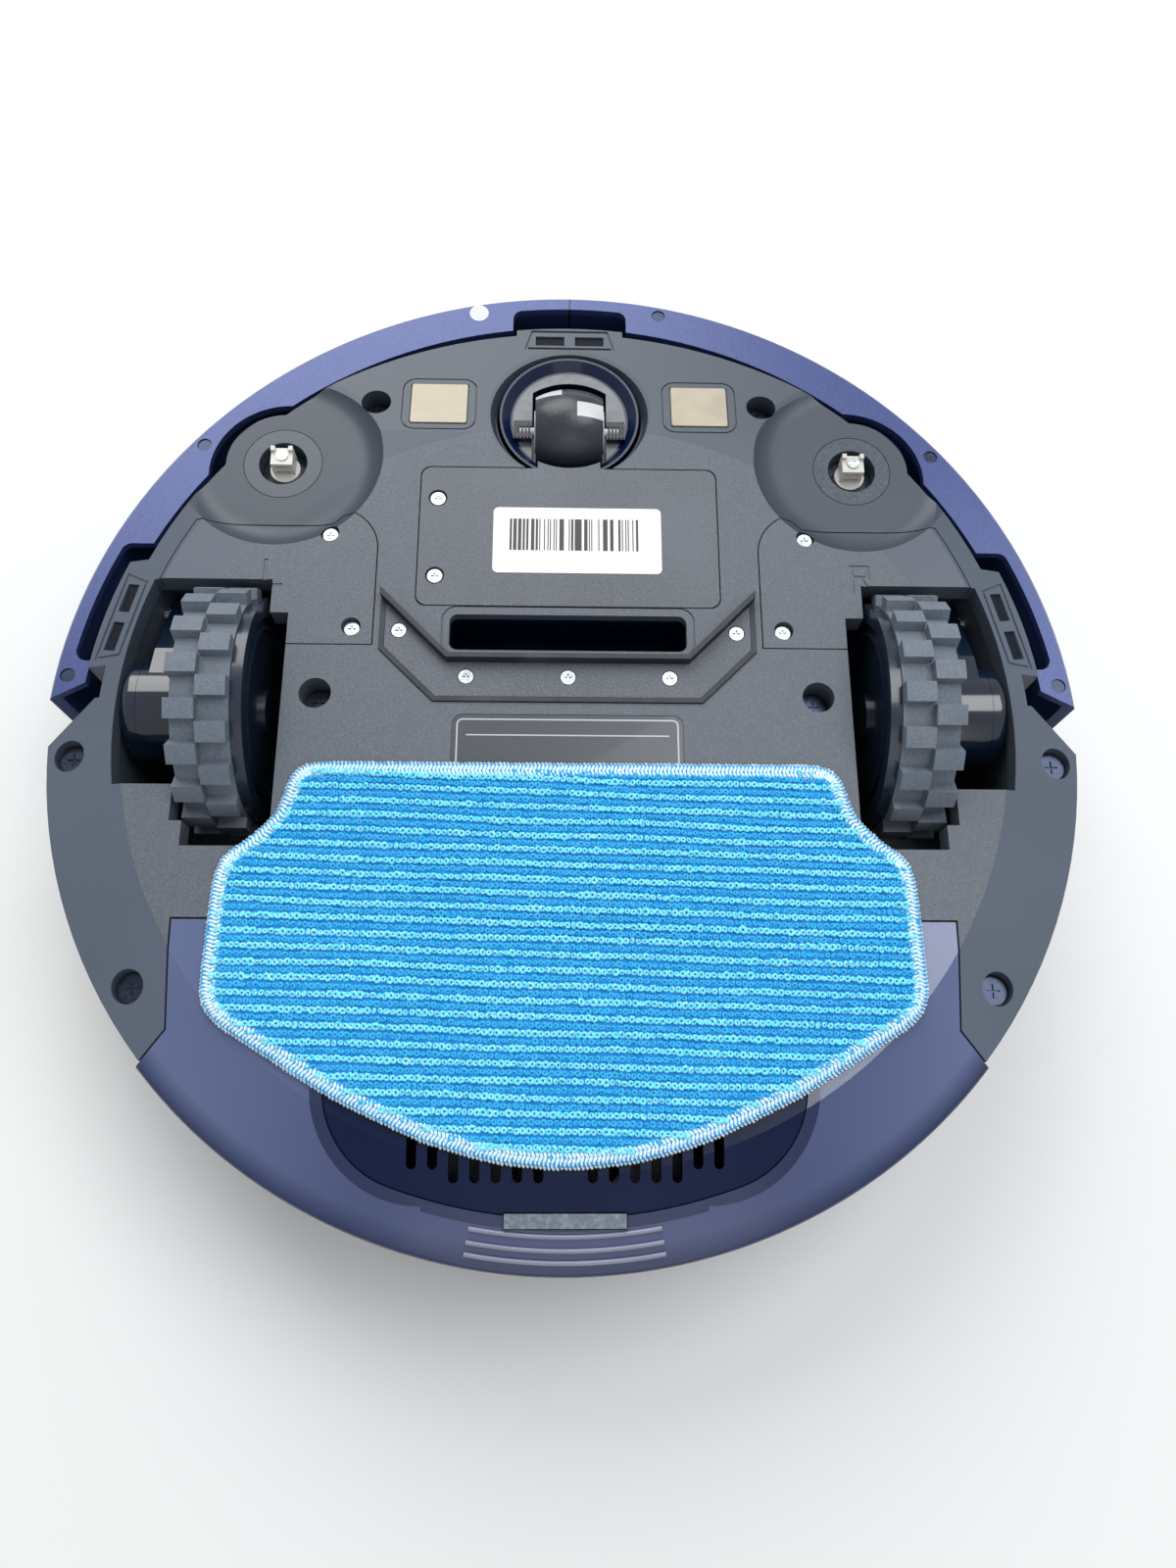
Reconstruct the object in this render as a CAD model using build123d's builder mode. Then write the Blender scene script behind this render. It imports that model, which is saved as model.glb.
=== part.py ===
from build123d import *
from math import atan, cos, radians, sin, sqrt, tan
import os

# A round robot vacuum lying on its back: z = 0 is the outside of the top cover and +Z points
# up to the wheels. +Y is the front, with the bumper, and the right-hand side is at +X.

# Overall sizes
body_radius = 140
plate_z = 68
chassis_radius = body_radius - 2
deck_radius = body_radius - 1
top_cover_radius = body_radius - 6
top_cover_thickness = 2.5
deck_thickness = 2.5
wall = 2.5
plate_thickness = 3
pad_thickness = 7
rim_drop = 6
crease_radius = body_radius - 23
ramp_start_y = 86.5
ramp_angle = 7
seam_z = plate_z - 12
cut_z = plate_z - 18
seam_gap = 0.35
seat_gap = 0.3

# Chassis outline
front_radius = body_radius - 15.5
side_pad_radius = body_radius - 10.2
side_pad_y = (13, 45)
tab_radius = body_radius - 13.3
tab_half_width = 15.9
brush_x = 82
brush_y = 77
brush_bulge_radius = 16.3
shoulder_x = body_radius - 14.3
shoulder_y = 3.7
shoulder_slope = 1.05

# Bumper
bumper_wall = 2.5
bumper_face_z = plate_z - 7
bumper_lip_thickness = 2.5
bumper_lip_radius = body_radius - 11.4
notch_radius = body_radius - 4.4
void_corner = 3
notch_half_width = 17.2
bumper_bulge_radius = 22.2
bumper_bulge_limit = body_radius - 5.2
side_void_radius = body_radius - 4.1
side_void_y = (16.5, 52.8)
end_tab_radius = body_radius - 8.8
end_inner = (body_radius - 9.1, 10)
end_tip = (body_radius + 1.9, 4.1)
bumper_screw_radius = body_radius - 3.6
bumper_screw_angles = (4.9, 38.4, 78.5, 101.7, 141.2, 174.9)
sealed_screw_angle = 101.7
bumper_screw_head = 1.9
window_angle = 36
window_z = (24, 38)
spring_x = 30
switch_x = 52
rim_chamfer = 0.7

# Dust bin
bin_half_width = 98.2
bin_front_y = -56.3
bin_waist_half_width = 97.6
bin_waist_y = -83
bin_flare_x = 104.5
bin_flare_y = -91
bin_radius = body_radius - 0.3
bin_wall = 2.2
bin_gap = 0.5
panel_thickness = 2
panel_drop = 0.5
panel_gap = 0.25
panel_ledge = 3
vent_start_y = -96
vent_end_y = 21.4 - body_radius
panel_front_y = -66
panel_half_width = 58
panel_radius = body_radius - 13.6
panel_corner_radius = 24
vent_pitch = 5
vent_first_x = 6.4
vents_per_side = 7
vent_width = 2.4
latch_half_width = 14.4
latch_y = (11.3 - body_radius, 14.6 - body_radius)
rib_radii = (body_radius - 9.4, body_radius - 6.3, body_radius - 3.6)
rib_wire = 0.55
mouth_half_width = 31
mouth_z = (24, 38)
fan_y = 34.4 - body_radius
fan_flange_radius = 19
fan_wall = 1.6
fan_top_z = plate_z - 20
filter_size = (78, 7, 36)
filter_frame = 2
filter_pleat = 5

# Wheel modules
wheel_y = 4.5
wheel_drop = 14
wheel_radius = 34
tread_radius = 31
hub_radius = 28.6
wheel_inner_x = 82
wheel_width = 18.5
tread_inset = 3
hub_flange_radius = 30.4
blocks_per_row = 18
block_length = 5.2
axle_radius = 2.5
gearbox_radius = 14
gearbox_inner_x = 102.3
gearbox_seam_x = 114.3
gearbox_outer_x = 118.4
pivot_y = 36
pivot_drop = 18
pivot_radius = 2
arm_boss_radius = 4.8
arm_outer_x = 112
well_radius = body_radius - 19.7
opening_radius = body_radius - 20.5
well_front_y = 43
well_rear_y = -39
opening_front_y = 38.2
opening_rear_y = -37.4
opening_inner_x = 76
opening_notch_y = 28.2
opening_notch_x = 81
wheel_slot_x = 101.8
gearbox_slot_rear_y = -21
well_wall = 1.6
well_floor_z = 6.5

# Castor
castor_y = 94.5
castor_trail = 4.5
castor_wheel_drop = 5
castor_wheel_radius = 12
castor_wheel_half_width = 9.7
castor_bowl_radius = 23.3
castor_disc_radius = 20.4
castor_flat_radius = 17.3
castor_flat_drop = 6
castor_floor_z = plate_z - 18.8
castor_stem_radius = 4
castor_stem_z = plate_z - 38
castor_slot_half_width = 10.9
castor_slot_radius = 19
castor_slot_offset = 5.8
clip_length = 6
castor_axle_radius = 1.3
castor_core_radius = 6

# Side brush drives
bowl_radius = 29
bowl_y = brush_y + 0.9
bowl_floor_radius = 21
bowl_depth = 3.2
bezel_radius = 11.1
bezel_hole_radius = 6.9
brush_motor_radius = 12.4
brush_spindle_radius = 2
brush_motor_z = plate_z - 32
shaft_z = plate_z - 9.1
shaft_block = (6.2, 5.4, 5)

# Power button on the top cover
button_y = 55
button_radius = 9
button_stem_radius = 3

# Covers, battery, inlet
cover_thickness = 2
battery_cover_size = (83.4, 43.4)
battery_cover_y = 52.7
battery_size = (70, 37, 37)
battery_bay_wall = 1.5
cover_tab_half_width = 8.9
cover_tab_radius = 19.8
wheel_cover_thickness = 4.8
wheel_cover_inner_x = 53.1
wheel_cover_rear_y = 19.1
wheel_cover_front_y = 56.6
wheel_cover_corner = (7.3, 8.7, 2.8)
wheel_cover_radius = body_radius - 22
inlet_half_width = 32.3
inlet_y = (17.6, 28.2)
duct_wall = 1.6
contact_x = 37.9
contact_y = 96.6
contact_size = (16.2, 14.4)
rating_y = -18
rating_size = (61, 33.8)
label_centre = (2.4, 51.3)
label_size = (47, 20.5)
running = 0.05

chassis_screw_spots = ((56.2, 96.9), (67.2, 4.7), (131, -12.2), (108.5, -72.5))
chassis_screw_hole = 4.3
frame_screw_spots = ((-45.8, 23), (-27.3, 9.6), (0, 9.6), (27.3, 9.6), (45.8, 23))
counterbore_radius = 2.65
counterbore_depth = 2.8
shallow_counterbore = 1.5
small_head = (2.05, 1.1)
small_screw_hole = 1.25
letter_depth = 0.3
letter_x = 81
letter_y = 40.2
letter_size = (5.6, 8.6, 1.1)
cover_screw_spots = (
    (-36.9, 64.4), (-36.9, 40), (-58.9, 24.3), (58.9, 24.3), (-66.5, 53), (66.5, 53),
)

os.makedirs("parts", exist_ok=True)

slope = rim_drop / (chassis_radius - crease_radius)
far = 200
wheel_z = plate_z - wheel_drop
pivot_z = plate_z - pivot_drop
pin_end_x = sqrt(well_radius ** 2 - pivot_y ** 2) + 1
castor_wheel_y = castor_y - castor_trail
castor_wheel_z = plate_z - castor_wheel_drop
castor_flat_z = plate_z - castor_flat_drop
bowl_floor_z = plate_z - bowl_depth
post_seat_z = seam_z + 2.5
deck_z = top_cover_thickness
shell_z = deck_z + deck_thickness
bin_bottom_z = shell_z + 0.6
bin_floor_z = bin_bottom_z + bin_wall
ramp = Plane(
    origin=(0, ramp_start_y, plate_z),
    x_dir=(1, 0, 0),
    z_dir=(0, sin(radians(ramp_angle)), cos(radians(ramp_angle))),
)


def finish(piece, label):
    piece.label = label
    export_step(piece, f"parts/{label}.step")
    print(f"{label:24s} solids {len(piece.solids()):3d} volume {piece.volume:10.1f}")


def surface_z(radius):
    """Height of the sloped outer band at a distance from the centre."""
    return plate_z - max(0, radius - crease_radius) * slope


def ramp_y(y):
    return (y - ramp_start_y) / cos(radians(ramp_angle))


# Outlines


def outline_sketch(inset=0):
    """Outer edge of the chassis and of the side wall below it; inset gives its inner face."""
    shoulder_inset = inset * sqrt(1 + shoulder_slope ** 2)
    rear_y = shoulder_y - (far - shoulder_x) * shoulder_slope - shoulder_inset
    front_y = shoulder_y - shoulder_inset
    pad_length = side_pad_y[1] - side_pad_y[0] - 2 * inset
    with BuildSketch() as shape:
        Circle(front_radius - inset)
        with BuildSketch(mode=Mode.PRIVATE) as rear:
            Circle(chassis_radius - inset)
            with BuildLine():
                Polyline(
                    (-far, -far), (far, -far), (far, rear_y), (shoulder_x, front_y),
                    (-shoulder_x, front_y), (-far, rear_y), close=True,
                )
            make_face(mode=Mode.INTERSECT)
        add(rear.sketch)
        with BuildSketch(mode=Mode.PRIVATE) as pads:
            Circle(side_pad_radius - inset)
            with Locations((0, sum(side_pad_y) / 2)):
                Rectangle(2 * far, pad_length, mode=Mode.INTERSECT)
        add(pads.sketch)
        with BuildSketch(mode=Mode.PRIVATE) as tab:
            Circle(tab_radius - inset)
            with Locations((0, tab_radius)):
                Rectangle(2 * (tab_half_width - inset), 12, mode=Mode.INTERSECT)
        add(tab.sketch)
        with Locations((brush_x, brush_y), (-brush_x, brush_y)):
            Circle(brush_bulge_radius - inset)
    return shape.sketch


def bin_sketch(grow=0):
    """Outline of the dust bin; grow widens the front and sides."""
    points = [
        (bin_half_width, bin_front_y),
        (bin_waist_half_width, bin_waist_y),
        (bin_flare_x, bin_flare_y),
        (bin_flare_x + 25, bin_flare_y - 29),
        (bin_flare_x + 25, -far),
    ]
    left = [(-x, y) for x, y in reversed(points)]
    with BuildSketch() as shape:
        with BuildLine():
            Polyline(*points, *left, close=True)
        make_face()
        if grow:
            offset(amount=grow, kind=Kind.INTERSECTION)
        else:
            Circle(bin_radius, mode=Mode.INTERSECT)
    return shape.sketch


def envelope(drop=0):
    """Everything under the bottom surface: flat centre, sloped band and front ramp."""
    rim = body_radius + 10
    with BuildPart() as shape:
        with BuildSketch(Plane.XZ):
            with BuildLine():
                Polyline(
                    (0, 0), (rim, 0), (rim, surface_z(rim) - drop), (crease_radius, plate_z - drop),
                    (0, plate_z - drop), close=True,
                )
            make_face()
        revolve(axis=Axis.Z)
        with BuildSketch(ramp.offset(-drop)):
            with Locations((0, 40)):
                Rectangle(2 * far, 80)
        extrude(amount=20, mode=Mode.SUBTRACT)
    return shape.part


def well_sketch(side, grow=0):
    """Inside of the box that the drive wheel and its arm swing in."""
    inner_x = opening_inner_x - 1.6
    with BuildSketch() as shape:
        with Locations((side * (inner_x + far / 2), (well_front_y + well_rear_y) / 2)):
            Rectangle(far, well_front_y - well_rear_y)
        Circle(well_radius, mode=Mode.INTERSECT)
        if grow:
            offset(amount=grow)
    return shape.sketch


def opening_sketch(side):
    """Opening in the bottom plate for the drive wheel and its gearbox."""
    with BuildSketch() as shape:
        with BuildLine():
            Polyline(
                (side * opening_inner_x, opening_rear_y),
                (side * (wheel_slot_x - 3.3), opening_rear_y),
                (side * (wheel_slot_x - 3.3), gearbox_slot_rear_y - 9.8),
                (side * wheel_slot_x, gearbox_slot_rear_y - 9.8),
                (side * wheel_slot_x, gearbox_slot_rear_y),
                (side * far, gearbox_slot_rear_y),
                (side * far, opening_front_y),
                (side * opening_notch_x, opening_front_y),
                (side * opening_notch_x, opening_notch_y),
                (side * opening_inner_x, opening_notch_y),
                close=True,
            )
        make_face()
        Circle(opening_radius, mode=Mode.INTERSECT)
    return shape.sketch


def wheel_cover_sketch(side, grow=0):
    run, rise, lift = wheel_cover_corner
    corner_x = side * (wheel_cover_inner_x + run)
    corner_y = wheel_cover_front_y + lift
    start = (side * wheel_cover_inner_x, wheel_cover_front_y - rise)
    with BuildSketch() as shape:
        with BuildLine():
            Line((side * wheel_cover_inner_x, wheel_cover_rear_y), start)
            TangentArc(start, (corner_x, corner_y), tangent=(0, 1))
            Polyline(
                (corner_x, corner_y),
                (corner_x + side * lift, corner_y),
                (corner_x + 2 * side * lift, wheel_cover_front_y),
                (side * far, wheel_cover_front_y),
                (side * far, wheel_cover_rear_y),
                (side * wheel_cover_inner_x, wheel_cover_rear_y),
            )
        make_face()
        Circle(wheel_cover_radius, mode=Mode.INTERSECT)
        if grow:
            offset(amount=grow)
    return shape.sketch


def battery_cover_sketch(grow=0):
    width, length = battery_cover_size
    top_y = battery_cover_y + length / 2
    with BuildSketch() as shape:
        with Locations((0, battery_cover_y)):
            RectangleRounded(width + 2 * grow, length + 2 * grow, 3)
        with BuildSketch(mode=Mode.PRIVATE) as tab:
            with Locations((0, top_y)):
                Rectangle(2 * cover_tab_half_width, 10)
            with Locations((0, castor_y)):
                Circle(cover_tab_radius, mode=Mode.SUBTRACT)
        add(tab.sketch)
    return shape.sketch


def panel_sketch(grow=0):
    """Cover let into the bottom of the bin, round at the rear."""
    with BuildSketch() as shape:
        Circle(panel_radius + grow)
        with Locations((0, panel_front_y + grow - far / 2)):
            Rectangle(2 * (panel_half_width + grow), far, mode=Mode.INTERSECT)
        rear = [v for v in shape.vertices() if v.Y < panel_front_y - 10]
        fillet(rear, panel_corner_radius + grow)
    return shape.sketch


def retainer_sketch(grow=0):
    """Band of the inlet frame: a bottom bar with a wing on each side of the mouth."""
    with BuildSketch() as shape:
        with BuildLine():
            Polyline(
                (-51, 34.6), (-51, 17.6), (-36, 2.6), (36, 2.6), (51, 17.6), (51, 34.6),
                (32, 15.2), (-32, 15.2), close=True,
            )
        make_face()
        if grow:
            offset(amount=grow, kind=Kind.INTERSECTION)
    return shape.sketch


def bowl_cutter():
    """Shallow dish around each side-brush drive."""
    edge_run = bowl_radius - bowl_floor_radius
    with BuildPart() as shape:
        with BuildSketch(Plane.XZ):
            with BuildLine():
                Polyline(
                    (bowl_radius, plate_z), (bowl_radius, plate_z + 6), (0, plate_z + 6),
                    (0, bowl_floor_z), (bowl_floor_radius, bowl_floor_z),
                )
                ThreePointArc(
                    (bowl_floor_radius, bowl_floor_z),
                    (bowl_floor_radius + 0.62 * edge_run, bowl_floor_z + 0.3 * bowl_depth),
                    (bowl_radius, plate_z),
                )
            make_face()
        revolve(axis=Axis.Z)
    return shape.part


def sensor_planes():
    """Planes on the bottom surface at the three cliff sensors, x along the rim."""
    front_y = ramp_y(body_radius - 18)
    front = ramp.shift_origin(ramp.from_local_coords(Vector(0, front_y, 0)))
    planes = [front]
    tilt = atan(slope)
    for angle in (12.7, 180 - 12.7):
        c, s = cos(radians(angle)), sin(radians(angle))
        r = body_radius - 15.8
        planes.append(Plane(
            origin=(r * c, r * s, surface_z(r)),
            x_dir=(-s, c, 0),
            z_dir=(c * sin(tilt), s * sin(tilt), cos(tilt)),
        ))
    return planes


def both_sides(spots):
    return [(x, y) for x, y in spots] + [(-x, y) for x, y in spots]


chassis_outline = outline_sketch()
bay_outline = bin_sketch(bin_gap)
with BuildSketch() as wall_outline:
    add(chassis_outline)
    add(bay_outline, mode=Mode.SUBTRACT)
with BuildSketch() as wall_inside:
    add(outline_sketch(wall))
    add(bin_sketch(bin_gap + wall), mode=Mode.SUBTRACT)
bowl = bowl_cutter()
sensors = sensor_planes()
posts = both_sides(chassis_screw_spots)


# Chassis: bottom shell with the wells, seats and bosses

with BuildPart() as hollow:
    with BuildSketch(Plane.XY.offset(seam_z)):
        add(wall_inside.sketch)
    extrude(amount=plate_z - seam_z)
    add(envelope(plate_thickness), mode=Mode.INTERSECT)

# thicker seats under the brush bowls and the wheel covers
with BuildPart() as pads:
    with BuildSketch(Plane.XY.offset(plate_z - pad_thickness)):
        with Locations((brush_x, bowl_y), (-brush_x, bowl_y)):
            Circle(bowl_radius + 1)
        add(wheel_cover_sketch(1, 1.5))
        add(wheel_cover_sketch(-1, 1.5))
        add(wall_inside.sketch, mode=Mode.INTERSECT)
    extrude(amount=pad_thickness)
    add(envelope(1), mode=Mode.INTERSECT)

with BuildPart() as castor_bowl:
    with Locations((0, castor_y, castor_flat_z + 1)):
        Cone(
            castor_disc_radius + 0.7, castor_bowl_radius, plate_z - castor_flat_z - 1,
            align=(Align.CENTER, Align.CENTER, Align.MIN),
        )
    with Locations((0, castor_y, plate_z)):
        Cylinder(castor_bowl_radius, 5, align=(Align.CENTER, Align.CENTER, Align.MIN))

with BuildPart() as chassis_base:
    with BuildSketch(Plane.XY.offset(seam_z)):
        add(wall_outline.sketch)
    extrude(amount=plate_z - seam_z)
    add(envelope(), mode=Mode.INTERSECT)
    add(hollow.part, mode=Mode.SUBTRACT)
    add(pads.part)
    # wheel wells
    for side in (1, -1):
        with BuildSketch(Plane.XY.offset(well_floor_z)):
            add(well_sketch(side, well_wall))
        extrude(amount=plate_z - 1 - well_floor_z)
    # screw bosses
    with Locations(*[(x, y, seam_z + 1) for x, y in posts]):
        Cylinder(chassis_screw_hole + 1.3, 10, align=(Align.CENTER, Align.CENTER, Align.MIN))
    add(envelope(), mode=Mode.INTERSECT)
    for side in (1, -1):
        with BuildSketch(Plane.XY.offset(well_floor_z)):
            add(well_sketch(side))
        extrude(amount=plate_z - pad_thickness - well_floor_z, mode=Mode.SUBTRACT)
        with BuildSketch(Plane.XY.offset(plate_z - wheel_cover_thickness)):
            add(wheel_cover_sketch(side, seam_gap))
        extrude(amount=20, mode=Mode.SUBTRACT)
        with BuildSketch(Plane.XY.offset(cut_z)):
            add(opening_sketch(side))
        extrude(amount=40, mode=Mode.SUBTRACT)
        # lug that carries the inner end of the arm's pivot pin
        lug_x = side * (gearbox_inner_x - 0.65)
        with BuildSketch(Plane(origin=(lug_x, 0, 0), x_dir=(0, 1, 0), z_dir=(1, 0, 0))):
            with Locations(((pivot_y + well_front_y) / 2, pivot_z)):
                Rectangle(well_front_y - pivot_y + 0.4, 2 * arm_boss_radius)
            with Locations((pivot_y, pivot_z)):
                Circle(arm_boss_radius)
        extrude(amount=0.6, both=True)
        with BuildSketch(Plane(origin=(0, 0, 0), x_dir=(0, 1, 0), z_dir=(1, 0, 0))):
            with Locations((pivot_y, pivot_z)):
                Circle(pivot_radius + 0.02)
        extrude(amount=side * pin_end_x, mode=Mode.SUBTRACT)
    # castor cup
    with BuildSketch(Plane.XY.offset(castor_floor_z - 2)):
        with Locations((0, castor_y)):
            Circle(castor_disc_radius + 0.7 + 1.8)
    extrude(amount=plate_z - 4 - castor_floor_z + 2)
    with BuildSketch(Plane.XY.offset(castor_stem_z - 1)):
        with Locations((0, castor_y)):
            Circle(castor_stem_radius + 2.4)
    extrude(amount=castor_floor_z - castor_stem_z)
    # battery bay
    bay_x, bay_y, bay_depth = battery_size
    bay_bottom = plate_z - cover_thickness - bay_depth - 1.2
    bay_height = plate_z - 1.5 - bay_bottom + battery_bay_wall
    with BuildSketch(Plane.XY.offset(bay_bottom - battery_bay_wall)):
        with Locations((0, battery_cover_y - 0.7)):
            Rectangle(bay_x + 1 + 2 * battery_bay_wall, bay_y + 1 + 2 * battery_bay_wall)
    extrude(amount=bay_height)
    with BuildSketch(Plane.XY.offset(bay_bottom)):
        with Locations((0, battery_cover_y - 0.7)):
            Rectangle(bay_x + 1, bay_y + 1)
    extrude(amount=60, mode=Mode.SUBTRACT)
    # castor bowl and stem socket
    with BuildSketch(Plane.XY.offset(castor_floor_z)):
        with Locations((0, castor_y)):
            Circle(castor_disc_radius + 0.7)
    extrude(amount=castor_flat_z + 1 - castor_floor_z, mode=Mode.SUBTRACT)
    add(castor_bowl.part, mode=Mode.SUBTRACT)
    with Locations((0, castor_y, castor_stem_z - 2)):
        Cylinder(castor_stem_radius + running, 40, align=(Align.CENTER, Align.CENTER, Align.MIN),
                 mode=Mode.SUBTRACT)
    # seats for the covers, labels and the inlet frame
    with BuildSketch(Plane.XY.offset(plate_z - cover_thickness)):
        add(battery_cover_sketch(seam_gap))
    extrude(amount=5, mode=Mode.SUBTRACT)
    with BuildSketch(Plane.XY.offset(plate_z - 1.8)):
        add(retainer_sketch(0.15))
    extrude(amount=5, mode=Mode.SUBTRACT)
    with BuildSketch(Plane.XY.offset(plate_z - 0.3)):
        with Locations((0, rating_y)):
            RectangleRounded(rating_size[0] + 0.4, rating_size[1] + 0.4, 3)
    extrude(amount=5, mode=Mode.SUBTRACT)
    # suction mouth
    with BuildSketch(Plane.XY.offset(cut_z)):
        with Locations((0, sum(inlet_y) / 2)):
            RectangleRounded(2 * inlet_half_width, inlet_y[1] - inlet_y[0], 2.4)
    extrude(amount=30, mode=Mode.SUBTRACT)
    with BuildSketch(Plane.XY.offset(plate_z - 0.4)):
        with Locations((0, sum(inlet_y) / 2 + 0.4)):
            RectangleRounded(2 * inlet_half_width + 4.4, inlet_y[1] - inlet_y[0] + 4.2, 4)
            RectangleRounded(
                2 * inlet_half_width + 3.4, inlet_y[1] - inlet_y[0] + 3.2, 3.5, mode=Mode.SUBTRACT)
    extrude(amount=5, mode=Mode.SUBTRACT)
    # brush bowls
    for side in (1, -1):
        add(bowl.moved(Location((side * brush_x, bowl_y, 0))), mode=Mode.SUBTRACT)
        with Locations((side * brush_x, brush_y, bowl_floor_z - 1)):
            Cylinder(bezel_radius + 0.2, 10, align=(Align.CENTER, Align.CENTER, Align.MIN),
                     mode=Mode.SUBTRACT)
            Cylinder(bezel_hole_radius + 0.4, 20, mode=Mode.SUBTRACT)
    # deep counterbores in the screw bosses
    with Locations(*[(x, y, post_seat_z) for x, y in posts]):
        Cylinder(chassis_screw_hole, 20, align=(Align.CENTER, Align.CENTER, Align.MIN),
                 mode=Mode.SUBTRACT)
        Cylinder(1.7, 20, mode=Mode.SUBTRACT)
    with Locations(*[(x, y, plate_z - 8) for x, y in frame_screw_spots + cover_screw_spots]):
        Cylinder(small_screw_hole, 30, mode=Mode.SUBTRACT)
    # charging contact and cliff sensor recesses
    with BuildSketch(ramp.offset(-0.6)):
        with Locations((contact_x, ramp_y(contact_y)), (-contact_x, ramp_y(contact_y))):
            RectangleRounded(contact_size[0] + 5.6, contact_size[1] + 4.8, 4)
            RectangleRounded(contact_size[0] + 4.8, contact_size[1] + 4, 3.6, mode=Mode.SUBTRACT)
            RectangleRounded(contact_size[0] + 0.8, contact_size[1] + 0.8, 0.8)
    extrude(amount=10, mode=Mode.SUBTRACT)
    for plane in sensors:
        with BuildSketch(plane.offset(-0.5)):
            Trapezoid(27, 7.6, 75)
            offset(amount=-0.8, mode=Mode.SUBTRACT)
        extrude(amount=4, mode=Mode.SUBTRACT)
        with BuildSketch(plane.offset(-1.2)):
            with Locations((-5.9, -0.4), (5.9, -0.4)):
                Rectangle(8.6, 3.6)
        extrude(amount=5, mode=Mode.SUBTRACT)
finish(chassis_base.part, "chassis_base")


# Side wall and top deck

with BuildPart() as upper_housing:
    with BuildSketch(Plane.XY.offset(deck_z)):
        Circle(deck_radius)
    extrude(amount=deck_thickness)
    with BuildSketch(Plane.XY.offset(shell_z)):
        add(wall_outline.sketch)
        add(wall_inside.sketch, mode=Mode.SUBTRACT)
    extrude(amount=seam_z - shell_z)
    # bosses that the chassis screws bite into
    with Locations(*[(x, y, shell_z) for x, y in posts]):
        Cylinder(4, seam_z - shell_z, align=(Align.CENTER, Align.CENTER, Align.MIN))
    with Locations(*[(x, y, seam_z - 10) for x, y in posts]):
        Cylinder(1.55, 20, align=(Align.CENTER, Align.CENTER, Align.MIN), mode=Mode.SUBTRACT)
    # posts of the main board
    with Locations((-50, -42, shell_z), (50, -42, shell_z), (-50, 18, shell_z), (50, 18, shell_z)):
        Cylinder(2.5, 3, align=(Align.CENTER, Align.CENTER, Align.MIN))
    # dust mouth in the wall in front of the bin
    mouth_height = mouth_z[1] - mouth_z[0]
    with Locations((0, bin_front_y, mouth_z[0] + mouth_height / 2)):
        Box(2 * mouth_half_width, 12, mouth_height, mode=Mode.SUBTRACT)
    with Locations((0, button_y, 0)):
        Cylinder(button_stem_radius + 0.3, 20, mode=Mode.SUBTRACT)
finish(upper_housing.part, "upper_housing")

with BuildPart() as top_cover:
    with BuildSketch():
        Circle(top_cover_radius)
    extrude(amount=top_cover_thickness)
    chamfer(top_cover.faces().sort_by(Axis.Z)[0].edges(), 1)
    with Locations((0, button_y, 0)):
        Cylinder(button_radius + 0.3, 20, mode=Mode.SUBTRACT)
finish(top_cover.part, "top_cover")

with BuildPart() as power_button:
    with Locations((0, button_y, 0.6)):
        Cylinder(button_radius, 1.1, align=(Align.CENTER, Align.CENTER, Align.MIN))
        Cylinder(button_stem_radius, 6, align=(Align.CENTER, Align.CENTER, Align.MIN))
    chamfer(power_button.faces().sort_by(Axis.Z)[0].edges(), 0.3)
finish(power_button.part, "power_button")

with BuildPart() as main_board:
    with BuildSketch(Plane.XY.offset(shell_z + 3)):
        with Locations((0, -12)):
            RectangleRounded(112, 68, 3)
    extrude(amount=1.6)
    board_top = shell_z + 4.6
    with Locations((0, -10, board_top), (-32, 6, board_top), (30, -28, board_top)):
        Box(14, 14, 1.6, align=(Align.CENTER, Align.CENTER, Align.MIN))
    with Locations((-48, -20, board_top), (48, 4, board_top), (-20, -38, board_top)):
        Box(8, 12, 6, align=(Align.CENTER, Align.CENTER, Align.MIN))
finish(main_board.part, "main_board")


# Bumper


def bumper_ends():
    """Region in front of the two slanted ends of the bumper."""
    (ix, iy), (tx, ty) = end_inner, end_tip
    grade = (ty - iy) / (tx - ix)
    inner_y = iy - grade * (ix - 120)
    outer_y = ty + grade * (far - tx)
    with BuildSketch() as shape:
        with BuildLine():
            Polyline(
                (far, outer_y), (120, inner_y), (-120, inner_y), (-far, outer_y),
                (-far, far), (far, far), close=True,
            )
        make_face()
    return shape.sketch


def bumper_void():
    """Inner edge of the bumper's bottom lip."""
    with BuildSketch() as shape:
        Circle(bumper_lip_radius)
        with BuildSketch(mode=Mode.PRIVATE) as notch:
            Circle(notch_radius)
            with Locations((0, notch_radius)):
                Rectangle(2 * notch_half_width, 24, mode=Mode.INTERSECT)
            fillet([v for v in notch.vertices() if v.Y > bumper_lip_radius], void_corner)
        add(notch.sketch)
        with BuildSketch(mode=Mode.PRIVATE) as bulges:
            with Locations((brush_x, brush_y), (-brush_x, brush_y)):
                Circle(bumper_bulge_radius)
            Circle(bumper_bulge_limit, mode=Mode.INTERSECT)
        add(bulges.sketch)
        with BuildSketch(mode=Mode.PRIVATE) as sides:
            Circle(side_void_radius)
            with Locations((0, sum(side_void_y) / 2)):
                Rectangle(2 * far, side_void_y[1] - side_void_y[0], mode=Mode.INTERSECT)
            fillet(sides.vertices(), void_corner)
        add(sides.sketch)
        with BuildSketch(mode=Mode.PRIVATE) as ends:
            Circle(end_tab_radius)
            with Locations((0, 0)):
                Rectangle(2 * far, 2 * side_void_y[0], mode=Mode.INTERSECT)
        add(ends.sketch)
    return shape.sketch


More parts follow.
